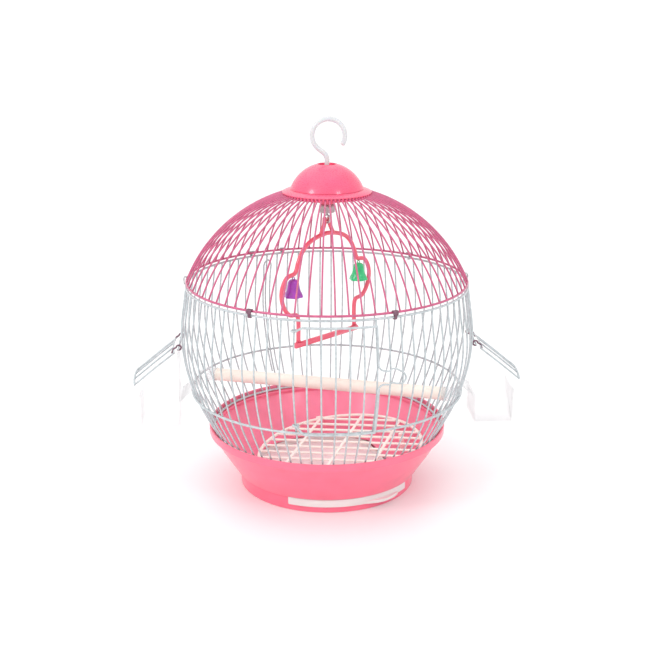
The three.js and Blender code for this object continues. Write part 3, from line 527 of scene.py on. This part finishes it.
# ---- Tub, tray and grille ----
def tub():
    cone_top = RIM_OUTER - 1.7
    band_base = TUB_HEIGHT - 8
    cone_base = FOOT_RADIUS + 3.5
    foot_inner = FOOT_RADIUS - WALL
    seat = FOOT_RING[0] - 2.1
    profile = rounded([
        (DECK_INNER, FOOT_HEIGHT), (foot_inner, FOOT_HEIGHT), (foot_inner, 2), (0, 2),
        (0, 0), (FOOT_RADIUS, 0), (FOOT_RADIUS, FOOT_HEIGHT - 0.4), (cone_base, FOOT_HEIGHT + 0.4),
        (cone_base + (cone_top - cone_base) * 0.6, FOOT_HEIGHT + (band_base - FOOT_HEIGHT) * 0.6),
        (cone_top - 1.4, band_base - 0.9), (cone_top - 0.9, band_base), (RIM_OUTER, band_base),
        (RIM_OUTER, TUB_HEIGHT), (RIM_INNER, TUB_HEIGHT), (RIM_INNER, LEDGE_Z), (seat, LEDGE_Z),
        (seat, LEDGE_Z - 2), (cone_top - 3.6, LEDGE_Z - 5), (DECK_OUTER, DECK_Z), (DECK_INNER, DECK_Z)],
        1.0, steps=3)
    build = Builder()
    build.lathe([(max(0, r), z) for r, z in profile], 144)
    base = build.finish("tub_shell")
    turn = Matrix.Rotation(math.radians(TRAY_TURN), 4, "Z")
    slot_low, slot_height = 6.2, 8.4
    cutter = Builder(turn)
    cutter.block((127.6, 40, slot_height), (0, -FOOT_RADIUS - 4, slot_low + slot_height / 2))
    boolean(base, cutter.finish("slot_cutter", smooth=False))
    runners = Builder(turn)
    for side in (-1, 1):
        runners.block((4, 112, slot_low), (side * 47.9, 0, slot_low / 2))
    boolean(base, runners.finish("runners", smooth=False), "UNION")
    wings = Builder(turn)
    for side in (-1, 1):
        wings.prism(wing_outline(side), FOOT_HEIGHT + 0.1, DECK_Z - 0.1)
    boolean(base, wings.finish("wings", smooth=False), "UNION")
    return soften(base, 32)


def wing_outline(side):
    """The part of the deck beside the tray: from a straight edge out to an arc inside the deck."""
    sweep = math.degrees(math.acos(WING_EDGE / DECK_INNER)) + 2
    edge = flat_arc(DECK_INNER + 2, -sweep, sweep, 16)
    outline = [(WING_EDGE, -edge[-1][1]), *edge, (WING_EDGE, edge[-1][1])]
    return outline if side > 0 else [(-x, y) for x, y in reversed(outline)]


def flat_arc(radius, start, end, steps):
    angles = [math.radians(a) for a in spread(start, end, steps)]
    return [(radius * math.cos(a), radius * math.sin(a)) for a in angles]


def tray_outline(inset, front):
    half, back = TRAY_HALF - inset, TRAY_BACK - inset
    sweep = math.degrees(math.asin(half / front))
    rear = math.degrees(math.asin(half / back))
    return flat_arc(front, -90 - sweep, -90 + sweep, 32) + flat_arc(back, 90 - rear, 90 + rear, 24)


def tray():
    turn = Matrix.Rotation(math.radians(TRAY_TURN), 4, "Z")
    shell, room = Builder(turn), Builder(turn)
    shell.prism(tray_outline(0, FOOT_RADIUS + TRAY_PROUD), TRAY_LIFT, TRAY_TOP)
    room.prism(tray_outline(TRAY_WALL, FOOT_RADIUS - WALL - 1), TRAY_LIFT + TRAY_WALL, TRAY_TOP + 5)
    obj = boolean(shell.finish("tray_shell"), room.finish("room", smooth=False))
    grip = Builder(turn)
    lip = catmull([(9, -92.6, 9), (14, -93.6, 9), (30, -93.3, 8.6), (44, -86.5, 8.4), (50, -81.4, 8.6)], 8)
    outline = [(p.x, p.y) for p in lip]
    inner = [(x * 0.93, y * 0.93) for x, y in reversed(outline)]
    grip.prism(outline + inner, TRAY_LIFT, TRAY_LIFT + 3)
    boolean(obj, grip.finish("grip", smooth=False), "UNION")
    return bevelled(obj, 0.5)


def grille():
    """The loose grille: a ring with bars both ways, a tab, and three feet on the deck."""
    tilt = math.radians(GRILLE_TILT)
    level = DECK_Z + GRILLE_RISE + GRILLE_RADIUS * math.sin(tilt)
    place = (Matrix.Rotation(math.radians(TRAY_TURN), 4, "Z") @ Matrix.Translation((GRILLE_SHIFT, 0, level))
             @ Matrix.Rotation(-tilt, 4, "Y"))
    build = Builder(place)
    inner = GRILLE_RADIUS - GRILLE_BAR
    half = GRILLE_THICK / 2
    section = [(inner, -half), (GRILLE_RADIUS, -half), (GRILLE_RADIUS, half), (inner, half)]
    build.lathe(rounded(section, 0.8, 3), 120)
    build.matrix = place @ Matrix.Rotation(math.radians(GRILLE_SPIN), 4, "Z")
    for i in range(-5, 6):
        bar_along(build, inner, i * GRILLE_PITCH, GRILLE_THICK - 0.4, False)
    for i in (-1, 0, 1):
        bar_along(build, inner, i * GRILLE_CROSS_PITCH, GRILLE_THICK - 0.2, True)
    build.matrix = place
    tab_root, tab_end = GRILLE_RADIUS - 1, GRILLE_RADIUS + 4
    tab = [(1.5, tab_root), (10.5, tab_root), (9.5, tab_end), (2.5, tab_end)]
    build.prism(rounded(tab, 1.2, 3), -1, 1)
    deck_middle = (DECK_OUTER + DECK_INNER) / 2
    ring_middle = GRILLE_RADIUS - GRILLE_BAR / 2
    x = (deck_middle**2 - GRILLE_SHIFT**2 - ring_middle**2) / (2 * GRILLE_SHIFT)
    y = math.sqrt(ring_middle**2 - x**2)
    leg_depth, leg_width, leg_top = 5, 3.2, -0.2
    foot_level = DECK_Z + 0.4 + leg_depth / 2 * math.sin(tilt) - level
    for cx, cy in ((x, y), (x, -y), (deck_middle - GRILLE_SHIFT, 0)):
        foot = (foot_level - cx * math.sin(tilt)) / math.cos(tilt)
        build.block((leg_depth, leg_width, leg_top - foot), (cx, cy, (foot + leg_top) / 2))
    return soften(build.finish("grille_grid"), 40)


def bar_along(build, inner, offset, thick, across):
    """One rounded bar of the grille, from side to side of its ring."""
    reach = math.sqrt((inner + 1) ** 2 - (abs(offset) + GRILLE_BAR / 2) ** 2)
    wide, high = GRILLE_BAR / 2, thick / 2
    section = rounded([(-wide, -high), (wide, -high), (wide, high), (-wide, high)], 0.9, 3)
    n = len(section)
    verts = []
    for end in (-reach, reach):
        for a, b in section:
            verts.append((offset + a, end, b) if across else (end, offset + a, b))
    faces = [[i, (i + 1) % n, n + (i + 1) % n, n + i] for i in range(n)]
    build.add(verts, [*faces, list(range(n))[::-1], [n + i for i in range(n)]])


# ---- Front door ----
def door_offset(z):
    over_girdle = GIRDLE_RING[0] - GIRDLE_WIRE[0] + 2 * RING + 0.5
    blend = min(1, max(0, (z - GIRDLE_WIRE[1]) / (BELLY[1] - GIRDLE_WIRE[1])))
    return over_girdle + (DOOR_OFFSET - over_girdle) * blend


def door_point(azimuth, z, out=0.0):
    return polar(belly_radius(z) + door_offset(z) + out, azimuth, z)


def front_door():
    build = Builder()
    levels = spread(GIRDLE_WIRE[1], DOOR_TOP, 20)
    stile = spread(GIRDLE_WIRE[1], LATCH_Z - 11.6, 10)
    build.tube([door_point(DOOR_HALF, z) for z in stile], RING + 0.2, 10, tip=0.8)
    build.tube([door_point(DOOR_HALF, z) for z in spread(LATCH_Z + 12.5, DOOR_TOP, 8)], WIRE, tip=0.6)
    for azimuth in range(-DOOR_HALF + WIRE_PITCH, DOOR_HALF, WIRE_PITCH):
        build.tube([door_point(azimuth, z) for z in levels], WIRE, tip=0.8)
    low, high = GIRDLE_WIRE[1] + 8, DOOR_TOP - 4
    foot, head = (polar(belly_radius(z), -DOOR_HALF, z) for z in (low, high))
    axis = (head - foot).normalized()
    outward = polar(1, -DOOR_HALF, 0)
    u = (outward - axis * outward.dot(axis)).normalized()
    v = axis.cross(u)
    for rail_z, curl_z in ((GIRDLE_WIRE[1], low), (DOOR_TOP, high)):
        centre = polar(belly_radius(curl_z), -DOOR_HALF, curl_z)
        rail = [door_point(a, rail_z) for a in spread(DOOR_HALF, -DOOR_HALF + 3.4, 14)]
        curl = arc(centre, WIRE * 2 + 0.7, u, v, 20, -290, 20)
        build.tube([*catmull([*rail[-2:], *curl[:2]], 6)[:-6], *curl], RING * 0.9, 8, tip=0.8)
        build.tube(rail, RING, 8, tip=0.5)
    latch = [(0, 13.5), (0.1, 11), (0.8, 8), (2.2, 6.3), (4.1, 5.9), (4.9, 7.6), (6.4, 7.2), (8.2, 4.6),
             (9.8, 1.4), (10.5, -3.6), (9.3, -7.8), (7, -7.4), (5, -6.1), (4.1, -7.4), (2, -6.9), (0.6, -8.2),
             (0, -11), (0, -13.5)]
    points = [door_point(DOOR_HALF + a, LATCH_Z + rise) for a, rise in latch]
    build.tube(catmull(points, 4), WIRE, 8)
    return build.finish("door_wires")


# ---- Feeders ----
def feeder_turn(side):
    return Matrix.Rotation(0 if side > 0 else math.pi, 4, "Z")


def flap_place(side):
    return (feeder_turn(side) @ Matrix.Translation((FLAP_HINGE[0], 0, FLAP_HINGE[1]))
            @ Matrix.Rotation(math.radians(FLAP_SLOPE), 4, "Y"))


def flap(side):
    build = Builder(flap_place(side))
    half = FLAP_WIDTH / 2 - WIRE

    def crown(y):
        return FLAP_BOW * (1 - (y / half) ** 2)

    for x, wire in ((FLAP_LENGTH - RING, RING), (5.7, WIRE)):
        build.tube([(x, y, crown(y)) for y in spread(-half, half, 20)], wire, tip=0.6)
    for y in spread(-half, half, 4):
        build.tube([(5.2, y, crown(y)), (30, y, crown(y) + 0.3), (FLAP_LENGTH - RING, y, crown(y))], WIRE)
    return build.finish(f"flap_wires_{'right' if side > 0 else 'left'}")


def flap_curls(side):
    """The flap's hinge curls, where the bent wire ends meet the rail; they take a dark steel that paints the
    shadow they sit in.
    """
    build = Builder(flap_place(side))
    half = FLAP_WIDTH / 2 - WIRE
    for y in (-0.75 * half, 0.75 * half):
        rise = FLAP_BOW * (1 - (y / half) ** 2)
        curl = arc((0, y, 0), 2.5, (1, 0, 0), (0, 0, 1), 40, 340, 20)
        lead = catmull([(9, y, rise - 1.2), (5, y, 2.2), curl[0]], 5)
        build.tube([*lead[:-1], *curl], WIRE, 8, tip=0.8)
    return build.finish(f"flap_curls_{'right' if side > 0 else 'left'}")


def cup(side):
    """The hopper's walls, cut as the CAD cup is, then with rounded edges."""
    matrix = feeder_turn(side)
    slope = math.radians(FLAP_SLOPE)
    down = Vector((math.cos(slope), -math.sin(slope)))
    normal = Vector((math.sin(slope), math.cos(slope)))

    def along(origin, x, lift):
        start = Vector(origin) + normal * lift
        return (x, start.y + down.y * (x - start.x) / down.x)

    def slab(outline, width):
        # The outline lies in the XZ plane; the block is centred on Y.
        build = Builder(matrix @ Matrix.Translation((0, width / 2, 0)) @ Matrix.Rotation(math.pi / 2, 4, "X"))
        build.prism(outline, 0, width)
        return build.finish("cup_part", smooth=False)

    inner, outer, wall = GIRDLE_RING[0] + 12, GIRDLE_RING[0] + 54, 1.6
    rim, top = GIRDLE_RING[1] - 1, FLAP_HINGE[1]
    base = rim - 36
    under = -1.7
    over = RING + 0.3
    shell = slab([(inner, base), (outer, base), along(FLAP_HINGE, outer, under),
                  along(FLAP_HINGE, inner + 3.5, under), (inner, top - 5)], 50)
    bevelled(shell, 3.0, 4, 60)
    room = 50 - 2 * wall
    lip_start = along(GIRDLE_RING, inner, over)[1]
    for outline in ([(inner + wall, base + wall), (outer - wall, base + wall), (outer - wall, top),
                     (inner + wall, top)],
                    [(outer - wall - 1, rim), (outer + 5, rim), (outer + 5, top), (outer - wall - 1, top)],
                    [(inner - 5, lip_start), (inner + wall + 1, lip_start), (inner + wall + 1, top),
                     (inner - 5, top)]):
        boolean(shell, slab(outline, room))
    reach = GIRDLE_RING[0] - 11 * math.cos(slope)
    lip = slab([along(GIRDLE_RING, reach, over), along(GIRDLE_RING, inner + wall, over),
                along(GIRDLE_RING, inner + wall, over + wall), along(GIRDLE_RING, reach, over + wall)], 43)
    boolean(shell, lip, "UNION")
    bevelled(shell, 0.4, 2, 50)
    shell.name = f"cup_shell_{'right' if side > 0 else 'left'}"
    return shell


# ---- Crown ----
def collar():
    """The skirt over the wire ends, with a tooth hanging between each pair of wires."""
    brim = CROWN[1] + 1.5
    top = CROWN[1] + 4.3
    profile = [(30, CROWN[1] - 3), (42, CROWN[1] - 3), (42, brim - 0.6), (45, brim - 0.9),
               (45.2, brim - 0.1), (42, brim + 1.4), (CAP_RADIUS + 1, top - 0.2), (CAP_RADIUS, top), (30, top)]
    build = Builder()
    build.lathe(rounded(profile, 0.6, 3), 144)
    for azimuth in ring_azimuths():
        build.matrix = Matrix.Rotation(math.radians(azimuth + WIRE_PITCH / 2), 4, "Z")
        build.prism([(-1.0, -45), (1.0, -45), (0.9, -41.5), (-0.9, -41.5)], CROWN[1] - 2.6, brim - 0.5)
    return soften(build.finish("collar_ring"), 50)


def cap():
    height = CAP_TOP - CAP_BASE
    recess = 9
    drop = (CAP_RADIUS**2 + height**2 - (recess + 0.5) ** 2) / (2 * height)
    centre = CAP_TOP - drop
    outer = math.hypot(CAP_RADIUS, CAP_BASE - centre)
    inner = outer - 1.8
    roof = CAP_TOP - 4.5

    def curve(radius, start_z, end_z, steps):
        first = math.asin((start_z - centre) / radius)
        last = math.asin((end_z - centre) / radius)
        return [(radius * math.cos(a), centre + radius * math.sin(a)) for a in spread(first, last, steps)]

    hole = 3.4
    boss_low = CAP_TOP - 40
    recess_floor = CAP_TOP - 2.5
    profile = [*curve(outer, CAP_BASE, CAP_TOP - 0.5, 20), (recess + 0.9, CAP_TOP),
               (recess + 0.1, CAP_TOP - 0.2), (recess, CAP_TOP - 2.2), (recess - 0.4, recess_floor),
               (hole, recess_floor), (hole, boss_low), (hole + 3.4, boss_low), (hole + 3.4, roof),
               *curve(inner, roof, CAP_BASE, 14)]
    build = Builder()
    build.lathe(profile, 128)
    return soften(build.finish("cap_dome"), 40)


def hook():
    build = Builder()
    loop_z = CAP_TOP + 28
    loop = arc((1.5, 0, loop_z), 16.4, (1, 0, 0), (0, 0, 1), -31, 232, 44)
    bends = [loop[-2], loop[-1], (-1.5, 0, loop_z - 18.9), (0, 0, loop_z - 23.5), (0, 0, CAP_TOP)]
    tail = catmull(bends, 8)[8:]
    build.tube([*loop[:-1], *tail, Vector((0, 0, NUT_BASE + 4))], 2.5, 16, tip=0.55)
    return build.finish("hook_loop")


def nut():
    build = Builder()
    profile = [(1.6, NUT_BASE), (8, NUT_BASE), (8, NUT_TOP - 1.5), (6.5, NUT_TOP), (2.8, NUT_TOP),
               (2.8, NUT_BASE + 1.2), (1.6, NUT_BASE + 1.2)]
    build.lathe(rounded(profile, 0.6, 3), 48)
    return soften(build.finish("nut_body"), 40)


# ---- Swing ----
SWING = Matrix.Translation((0, 0, PIVOT_Z)) @ Matrix.Rotation(math.radians(SWING_TURN), 4, "Z")


def swing_link():
    build = Builder(SWING)
    ring_centre = 1.5
    build.tube(arc((0, 0, ring_centre), 4.1, (0, 1, 0), (0, 0, 1), 0, 345, 30)[:-1], 1.0, 8, closed=True)
    head = NUT_BASE - PIVOT_Z + 1.5
    build.tube([(0, 0, ring_centre + 4.1), (0, 0, head + 1)], 1.0, 8)
    profile = [(0, head), (2.3, head), (2.3, head + 1.6), (0, head + 1.6)]
    build.lathe(rounded(profile, 0.4, 2, closed=False), 24, closed=False)
    return build.finish("link_wire")


def swing_frame():
    build = Builder(SWING)
    outline = [(0, -13), (14, -15), (27, -19.5), (36, -27), (42, -37), (46.5, -46.6), (58, -49.6),
               (64.5, -58.6), (66, -68), (63, -79), (55, -88.5), (44.6, -91), (42.6, -96),
               (42.6, -SWING_DROP + 3.5)]
    left = catmull([(-x, 0, z) for x, z in outline], 7)
    right = catmull([(x, 0, z) for x, z in outline], 7)
    build.tube([*reversed(left), *right[1:]], 2.25, 14)
    for side in (-1, 1):
        prong = catmull([(side * 3.4, 0, 2.6), (side * 4.2, 0, -4), (side * 9.5, 0, -14.2)], 6)
        build.tube(prong, 2.2, 12, tip=0.7)
        foot = Vector((side * 42.6, 0, -SWING_DROP + 3.4))
        build.tube([foot - Vector((3, 0, 0)), foot + Vector((3, 0, 0))], 0.9, 8, tip=0.8)
    build.tube([(-4, 0, 0), (4, 0, 0)], 1.2, 10)
    return build.finish("swing_hoop")


def swing_bar():
    build = Builder(SWING)
    build.tube([(x, 0, -SWING_DROP) for x in (-46.5, 0, 46.5)], 3, 20, tip=0.25)
    return build.finish("swing_rest")


def bell(side, name):
    place = SWING @ Matrix.Translation((side * 49, 0, -48))
    build = Builder(place)
    top = -4.4
    base = -22.5
    outer = catmull([(9.95, 0, base), (9.2, 0, base + 2.6), (7.2, 0, base + 6.4), (6.1, 0, base + 11),
                     (5.3, 0, top - 2.8), (3.8, 0, top - 0.8), (0, 0, top)], 5)
    inner = catmull([(0, 0, top - 1.4), (3, 0, top - 2), (4.3, 0, top - 4), (5.1, 0, base + 11),
                     (6.2, 0, base + 6.4), (8.2, 0, base + 2.2), (9.2, 0, base)], 5)
    build.lathe([(max(0, p.x), p.z) for p in [*inner, *outer]], 60, closed=False)
    back = place.inverted()
    for i, vert in enumerate(build.verts):
        v = back @ vert
        flare = min(1, max(0, (base + 9 - v.z) / 9)) ** 1.5
        wave = 1 - 0.06 * flare * (1 - math.cos(6 * math.atan2(v.y, v.x)))
        build.verts[i] = place @ Vector((v.x * wave, v.y * wave, v.z))
    eye = arc((0, 0, -3.7), 1.5, (0, 1, 0), (0, 0, 1), 0, 345, 18)
    build.tube(eye, 0.5, 6, closed=True)
    return build.finish(name)


# ---- Perch ----
PERCH = Matrix.Translation((0, 0, PERCH_Z)) @ Matrix.Rotation(math.radians(PERCH_TURN), 4, "Z")


def perch():
    build = Builder(PERCH)
    build.tube([(x, 0, 0) for x in spread(-PERCH_HALF, PERCH_HALF, 24)], PERCH_RADIUS, 32, tip=0.1)
    return soften(build.finish("perch_dowel"), 50)


def perch_sleeve(side):
    build = Builder(PERCH @ feeder_turn(side) @ Matrix.Rotation(math.pi / 2, 4, "Y"))
    start, end, outer = PERCH_HALF - 2.4, PERCH_END, PERCH_RADIUS + 0.8
    profile = [(PERCH_RADIUS + 0.1, start), (outer, start), (outer, end - 1), (outer - 1, end), (0, end),
               (0, PERCH_HALF + 1.2), (PERCH_RADIUS + 0.1, PERCH_HALF + 1.2)]
    build.lathe(rounded(profile, 0.6, 3), 32)
    tongue = Builder(PERCH @ feeder_turn(side))
    tongue.block((12, 7, 3), (PERCH_END + 1.5, 0, 1.9))
    obj = build.finish(f"perch_sleeve_{'right' if side > 0 else 'left'}")
    boolean(obj, tongue.finish("tongue", smooth=False), "UNION")
    return soften(obj, 40)


# ---- Clips ----
def clip(index):
    name = f"clip_{index}"
    low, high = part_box(name)
    middle = (low + high) / 2 / MM
    azimuth = math.degrees(math.atan2(middle.x, -middle.y))
    build = Builder(Matrix.Rotation(math.radians(round(azimuth / 2.5) * 2.5), 4, "Z"))
    reach = TOP_RING[0] + RING + 0.4
    bottom, top, sheet = TOP_RING[1] - RING - 0.2, DOME_RING[1] + RING + 0.2, 0.7
    middle_z = (bottom + top) / 2
    path = catmull([(reach - 3, bottom, 0), (reach - 1, bottom - 0.1, 0), (reach + 0.4, bottom + 0.6, 0),
                    (reach + 0.5, middle_z, 0), (reach + 0.4, top - 0.6, 0), (reach - 1, top + 0.1, 0),
                    (reach - 3, top, 0)], 4)
    outer = [(p.x, p.y) for p in path]
    back = [(p.x + (sheet if abs(p.y - middle_z) < 3.4 else 0.4),
             p.y + (0.7 if p.y > top - 1.2 else -0.7 if p.y < bottom + 1.2 else 0)) for p in reversed(path)]
    n = len(outer) * 2
    section = outer + back
    waist = DOME_RING[1] - RING - 0.3
    verts = [(side * (2.7 if z > waist else 1.2), -x, z) for side in (-1, 1) for x, z in section]
    faces = [[i, (i + 1) % n, n + (i + 1) % n, n + i] for i in range(n)]
    build.add(verts, [*faces, list(range(n))[::-1], [n + i for i in range(n)]])
    return soften(build.finish(f"{name}_sheet"), 50)


def food_clip():
    build = Builder(Matrix.Rotation(math.radians(-155), 4, "Z"))
    low, high = FOOT_RING[1] + 20, TOP_RING[1] - 10
    inside = -(2 * WIRE + 0.5)

    def leg(azimuth):
        return [polar(belly_radius(z) + inside, azimuth, z) for z in spread(low, high, 10)]

    top = polar(belly_radius(high + 4) + inside, 0, high + 4)
    build.tube(catmull([*leg(-1.6), top, *reversed(leg(1.6))], 3), WIRE, 8, tip=0.8)
    return build.finish("food_clip_wire")


# ---- Camera ----
VIEW_AZIMUTH = -3
VIEW_PITCH = 16.38
VIEW_DISTANCE = 1.1945
VIEW_HEIGHT = 0.1697
VIEW_SHIFT = -0.00196
LENS = 63.6


def camera():
    data = bpy.data.cameras.new("camera")
    data.lens = LENS
    data.sensor_width = 36
    data.clip_end = 600
    obj = bpy.data.objects.new("camera", data)
    bpy.context.scene.collection.objects.link(obj)
    pitch = math.radians(VIEW_PITCH)
    back = polar(math.cos(pitch), VIEW_AZIMUTH, math.sin(pitch))
    right = polar(1, VIEW_AZIMUTH + 90, 0)
    target = Vector((0, 0, VIEW_HEIGHT)) + right * VIEW_SHIFT
    obj.location = target + back * VIEW_DISTANCE
    obj.rotation_euler = (math.radians(90 - VIEW_PITCH), 0, math.radians(VIEW_AZIMUTH))
    bpy.context.scene.camera = obj


camera()

# ---- The object ----
piece(belly_wires(), "cage", WHITE_WIRE, "white_wire", *nodes_named("belly_"))
piece(belly_rings(), "cage", WHITE_WIRE, "white_wire")
piece(dome_wires(), "cage", PINK_WIRE, "pink_wire", *nodes_named("dome_"))
piece(dome_ring(), "cage", PINK_WIRE, "pink_wire")
# The tub's inner faces take the pink with painted light.
repaint(piece(tub(), "tub", PINK, "pink_plastic", "tub"), PINK_INSIDE_PAINTED_LIGHT, faces_inside_tub)
# The tray's floor takes the white with a painted pink glow of bounced light.
repaint(piece(tray(), "tray", WHITE, "white_plastic", "tray"), TRAY_FLOOR_PAINTED_GLOW, faces_in_tray)
piece(grille(), "grille", CREAM, "cream_plastic", "grille")
# The collar and cap take the pink with painted shade.
piece(collar(), "cage", PINK_TOP_PAINTED_SHADE, "pink_plastic", "collar")
piece(cap(), "cage", PINK_TOP_PAINTED_SHADE, "pink_plastic", "cap")
piece(hook(), "hook", FROSTED, "frosted_plastic", "hook")
piece(nut(), "hook", GREY_PLASTIC, "frosted_plastic", "hanger_nut")
piece(front_door(), "front_door", WHITE_WIRE, "white_wire", "front_door")
for way, side in (("right", 1), ("left", -1)):
    piece(flap(side), f"flap_{way}", WHITE_WIRE, "white_wire", f"flap_{way}")
    # The hinge curls take the steel with painted shade.
    piece(flap_curls(side), f"flap_{way}", STEEL_PAINTED_SHADE, "white_wire")
    piece(cup(side), f"cup_{way}", CLEAR, "clear_plastic", f"cup_{way}")
    piece(perch_sleeve(side), "cage", CLEAR_CAP, "clear_plastic", f"perch_end_{way}")
piece(swing_link(), "swing_link", LINK_STEEL, "link_steel", "swing_link")
piece(swing_frame(), "swing", CORAL, "coral_plastic", "swing_frame")
piece(swing_bar(), "swing", CORAL, "coral_plastic", "swing_bar")
piece(bell(-1, "bell_left_shell"), "bell_purple", PURPLE, "purple_plastic", "bell_purple")
piece(bell(1, "bell_right_shell"), "bell_green", GREEN, "green_plastic", "bell_green")
piece(perch(), "cage", WOOD, "wood", "perch")
for index in range(1, CLIP_COUNT + 1):
    # Clips in front take the steel with painted shade, and those behind take the plain steel.
    in_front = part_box(f"clip_{index}")[0].y < -0.1
    piece(clip(index), "cage", STEEL_PAINTED_SHADE if in_front else STEEL, "clip_steel", f"clip_{index}")
piece(food_clip(), "cage", WHITE_WIRE, "clip_steel", "food_clip")


# ---- Floor and light ----
def floor():
    mesh = bpy.data.meshes.new("floor")
    half = 150
    corners = [(-half, -half, 0), (half, -half, 0), (half, half, 0), (-half, half, 0)]
    mesh.from_pydata(corners, [], [(0, 1, 2, 3)])
    obj = bpy.data.objects.new("floor", mesh)
    bpy.context.scene.collection.objects.link(obj)
    mat = surface("floor_white", (0.93, 0.93, 0.935), 0.45, shade=0.01, scale=3, grain=60, bump=0.0)
    obj.data.materials.append(mat)


def lamp(name, kind, azimuth, elevation, energy, size):
    """A lamp two metres off, aimed at the cage; size is degrees for a sun and metres for a disk."""
    data = bpy.data.lights.new(name, kind)
    data.energy = energy
    if kind == "SUN":
        data.angle = math.radians(size)
    else:
        data.shape = "DISK"
        data.size = size
    obj = bpy.data.objects.new(name, data)
    bpy.context.scene.collection.objects.link(obj)
    rise = math.radians(elevation)
    target = Vector((0, 0, VIEW_HEIGHT))
    obj.location = target + polar(math.cos(rise), azimuth, math.sin(rise)) * 2
    obj.rotation_euler = (target - obj.location).to_track_quat("-Z", "Y").to_euler()


def world():
    made = bpy.data.worlds.new("studio")
    made.use_nodes = True
    background = made.node_tree.nodes["Background"]
    background.inputs["Color"].default_value = (1, 1, 1, 1)
    background.inputs["Strength"].default_value = 1.0
    bpy.context.scene.world = made


floor()
world()
lamp("back_key", "SUN", -160, 70, 0.55, 70)
lamp("front_key", "SUN", -50, 45, 0.25, 50)
lamp("left_box", "AREA", -56, 34, 6, 0.45)
lamp("right_box", "AREA", 36, 34, 4, 0.4)
bpy.context.scene.view_settings.view_transform = "Standard"
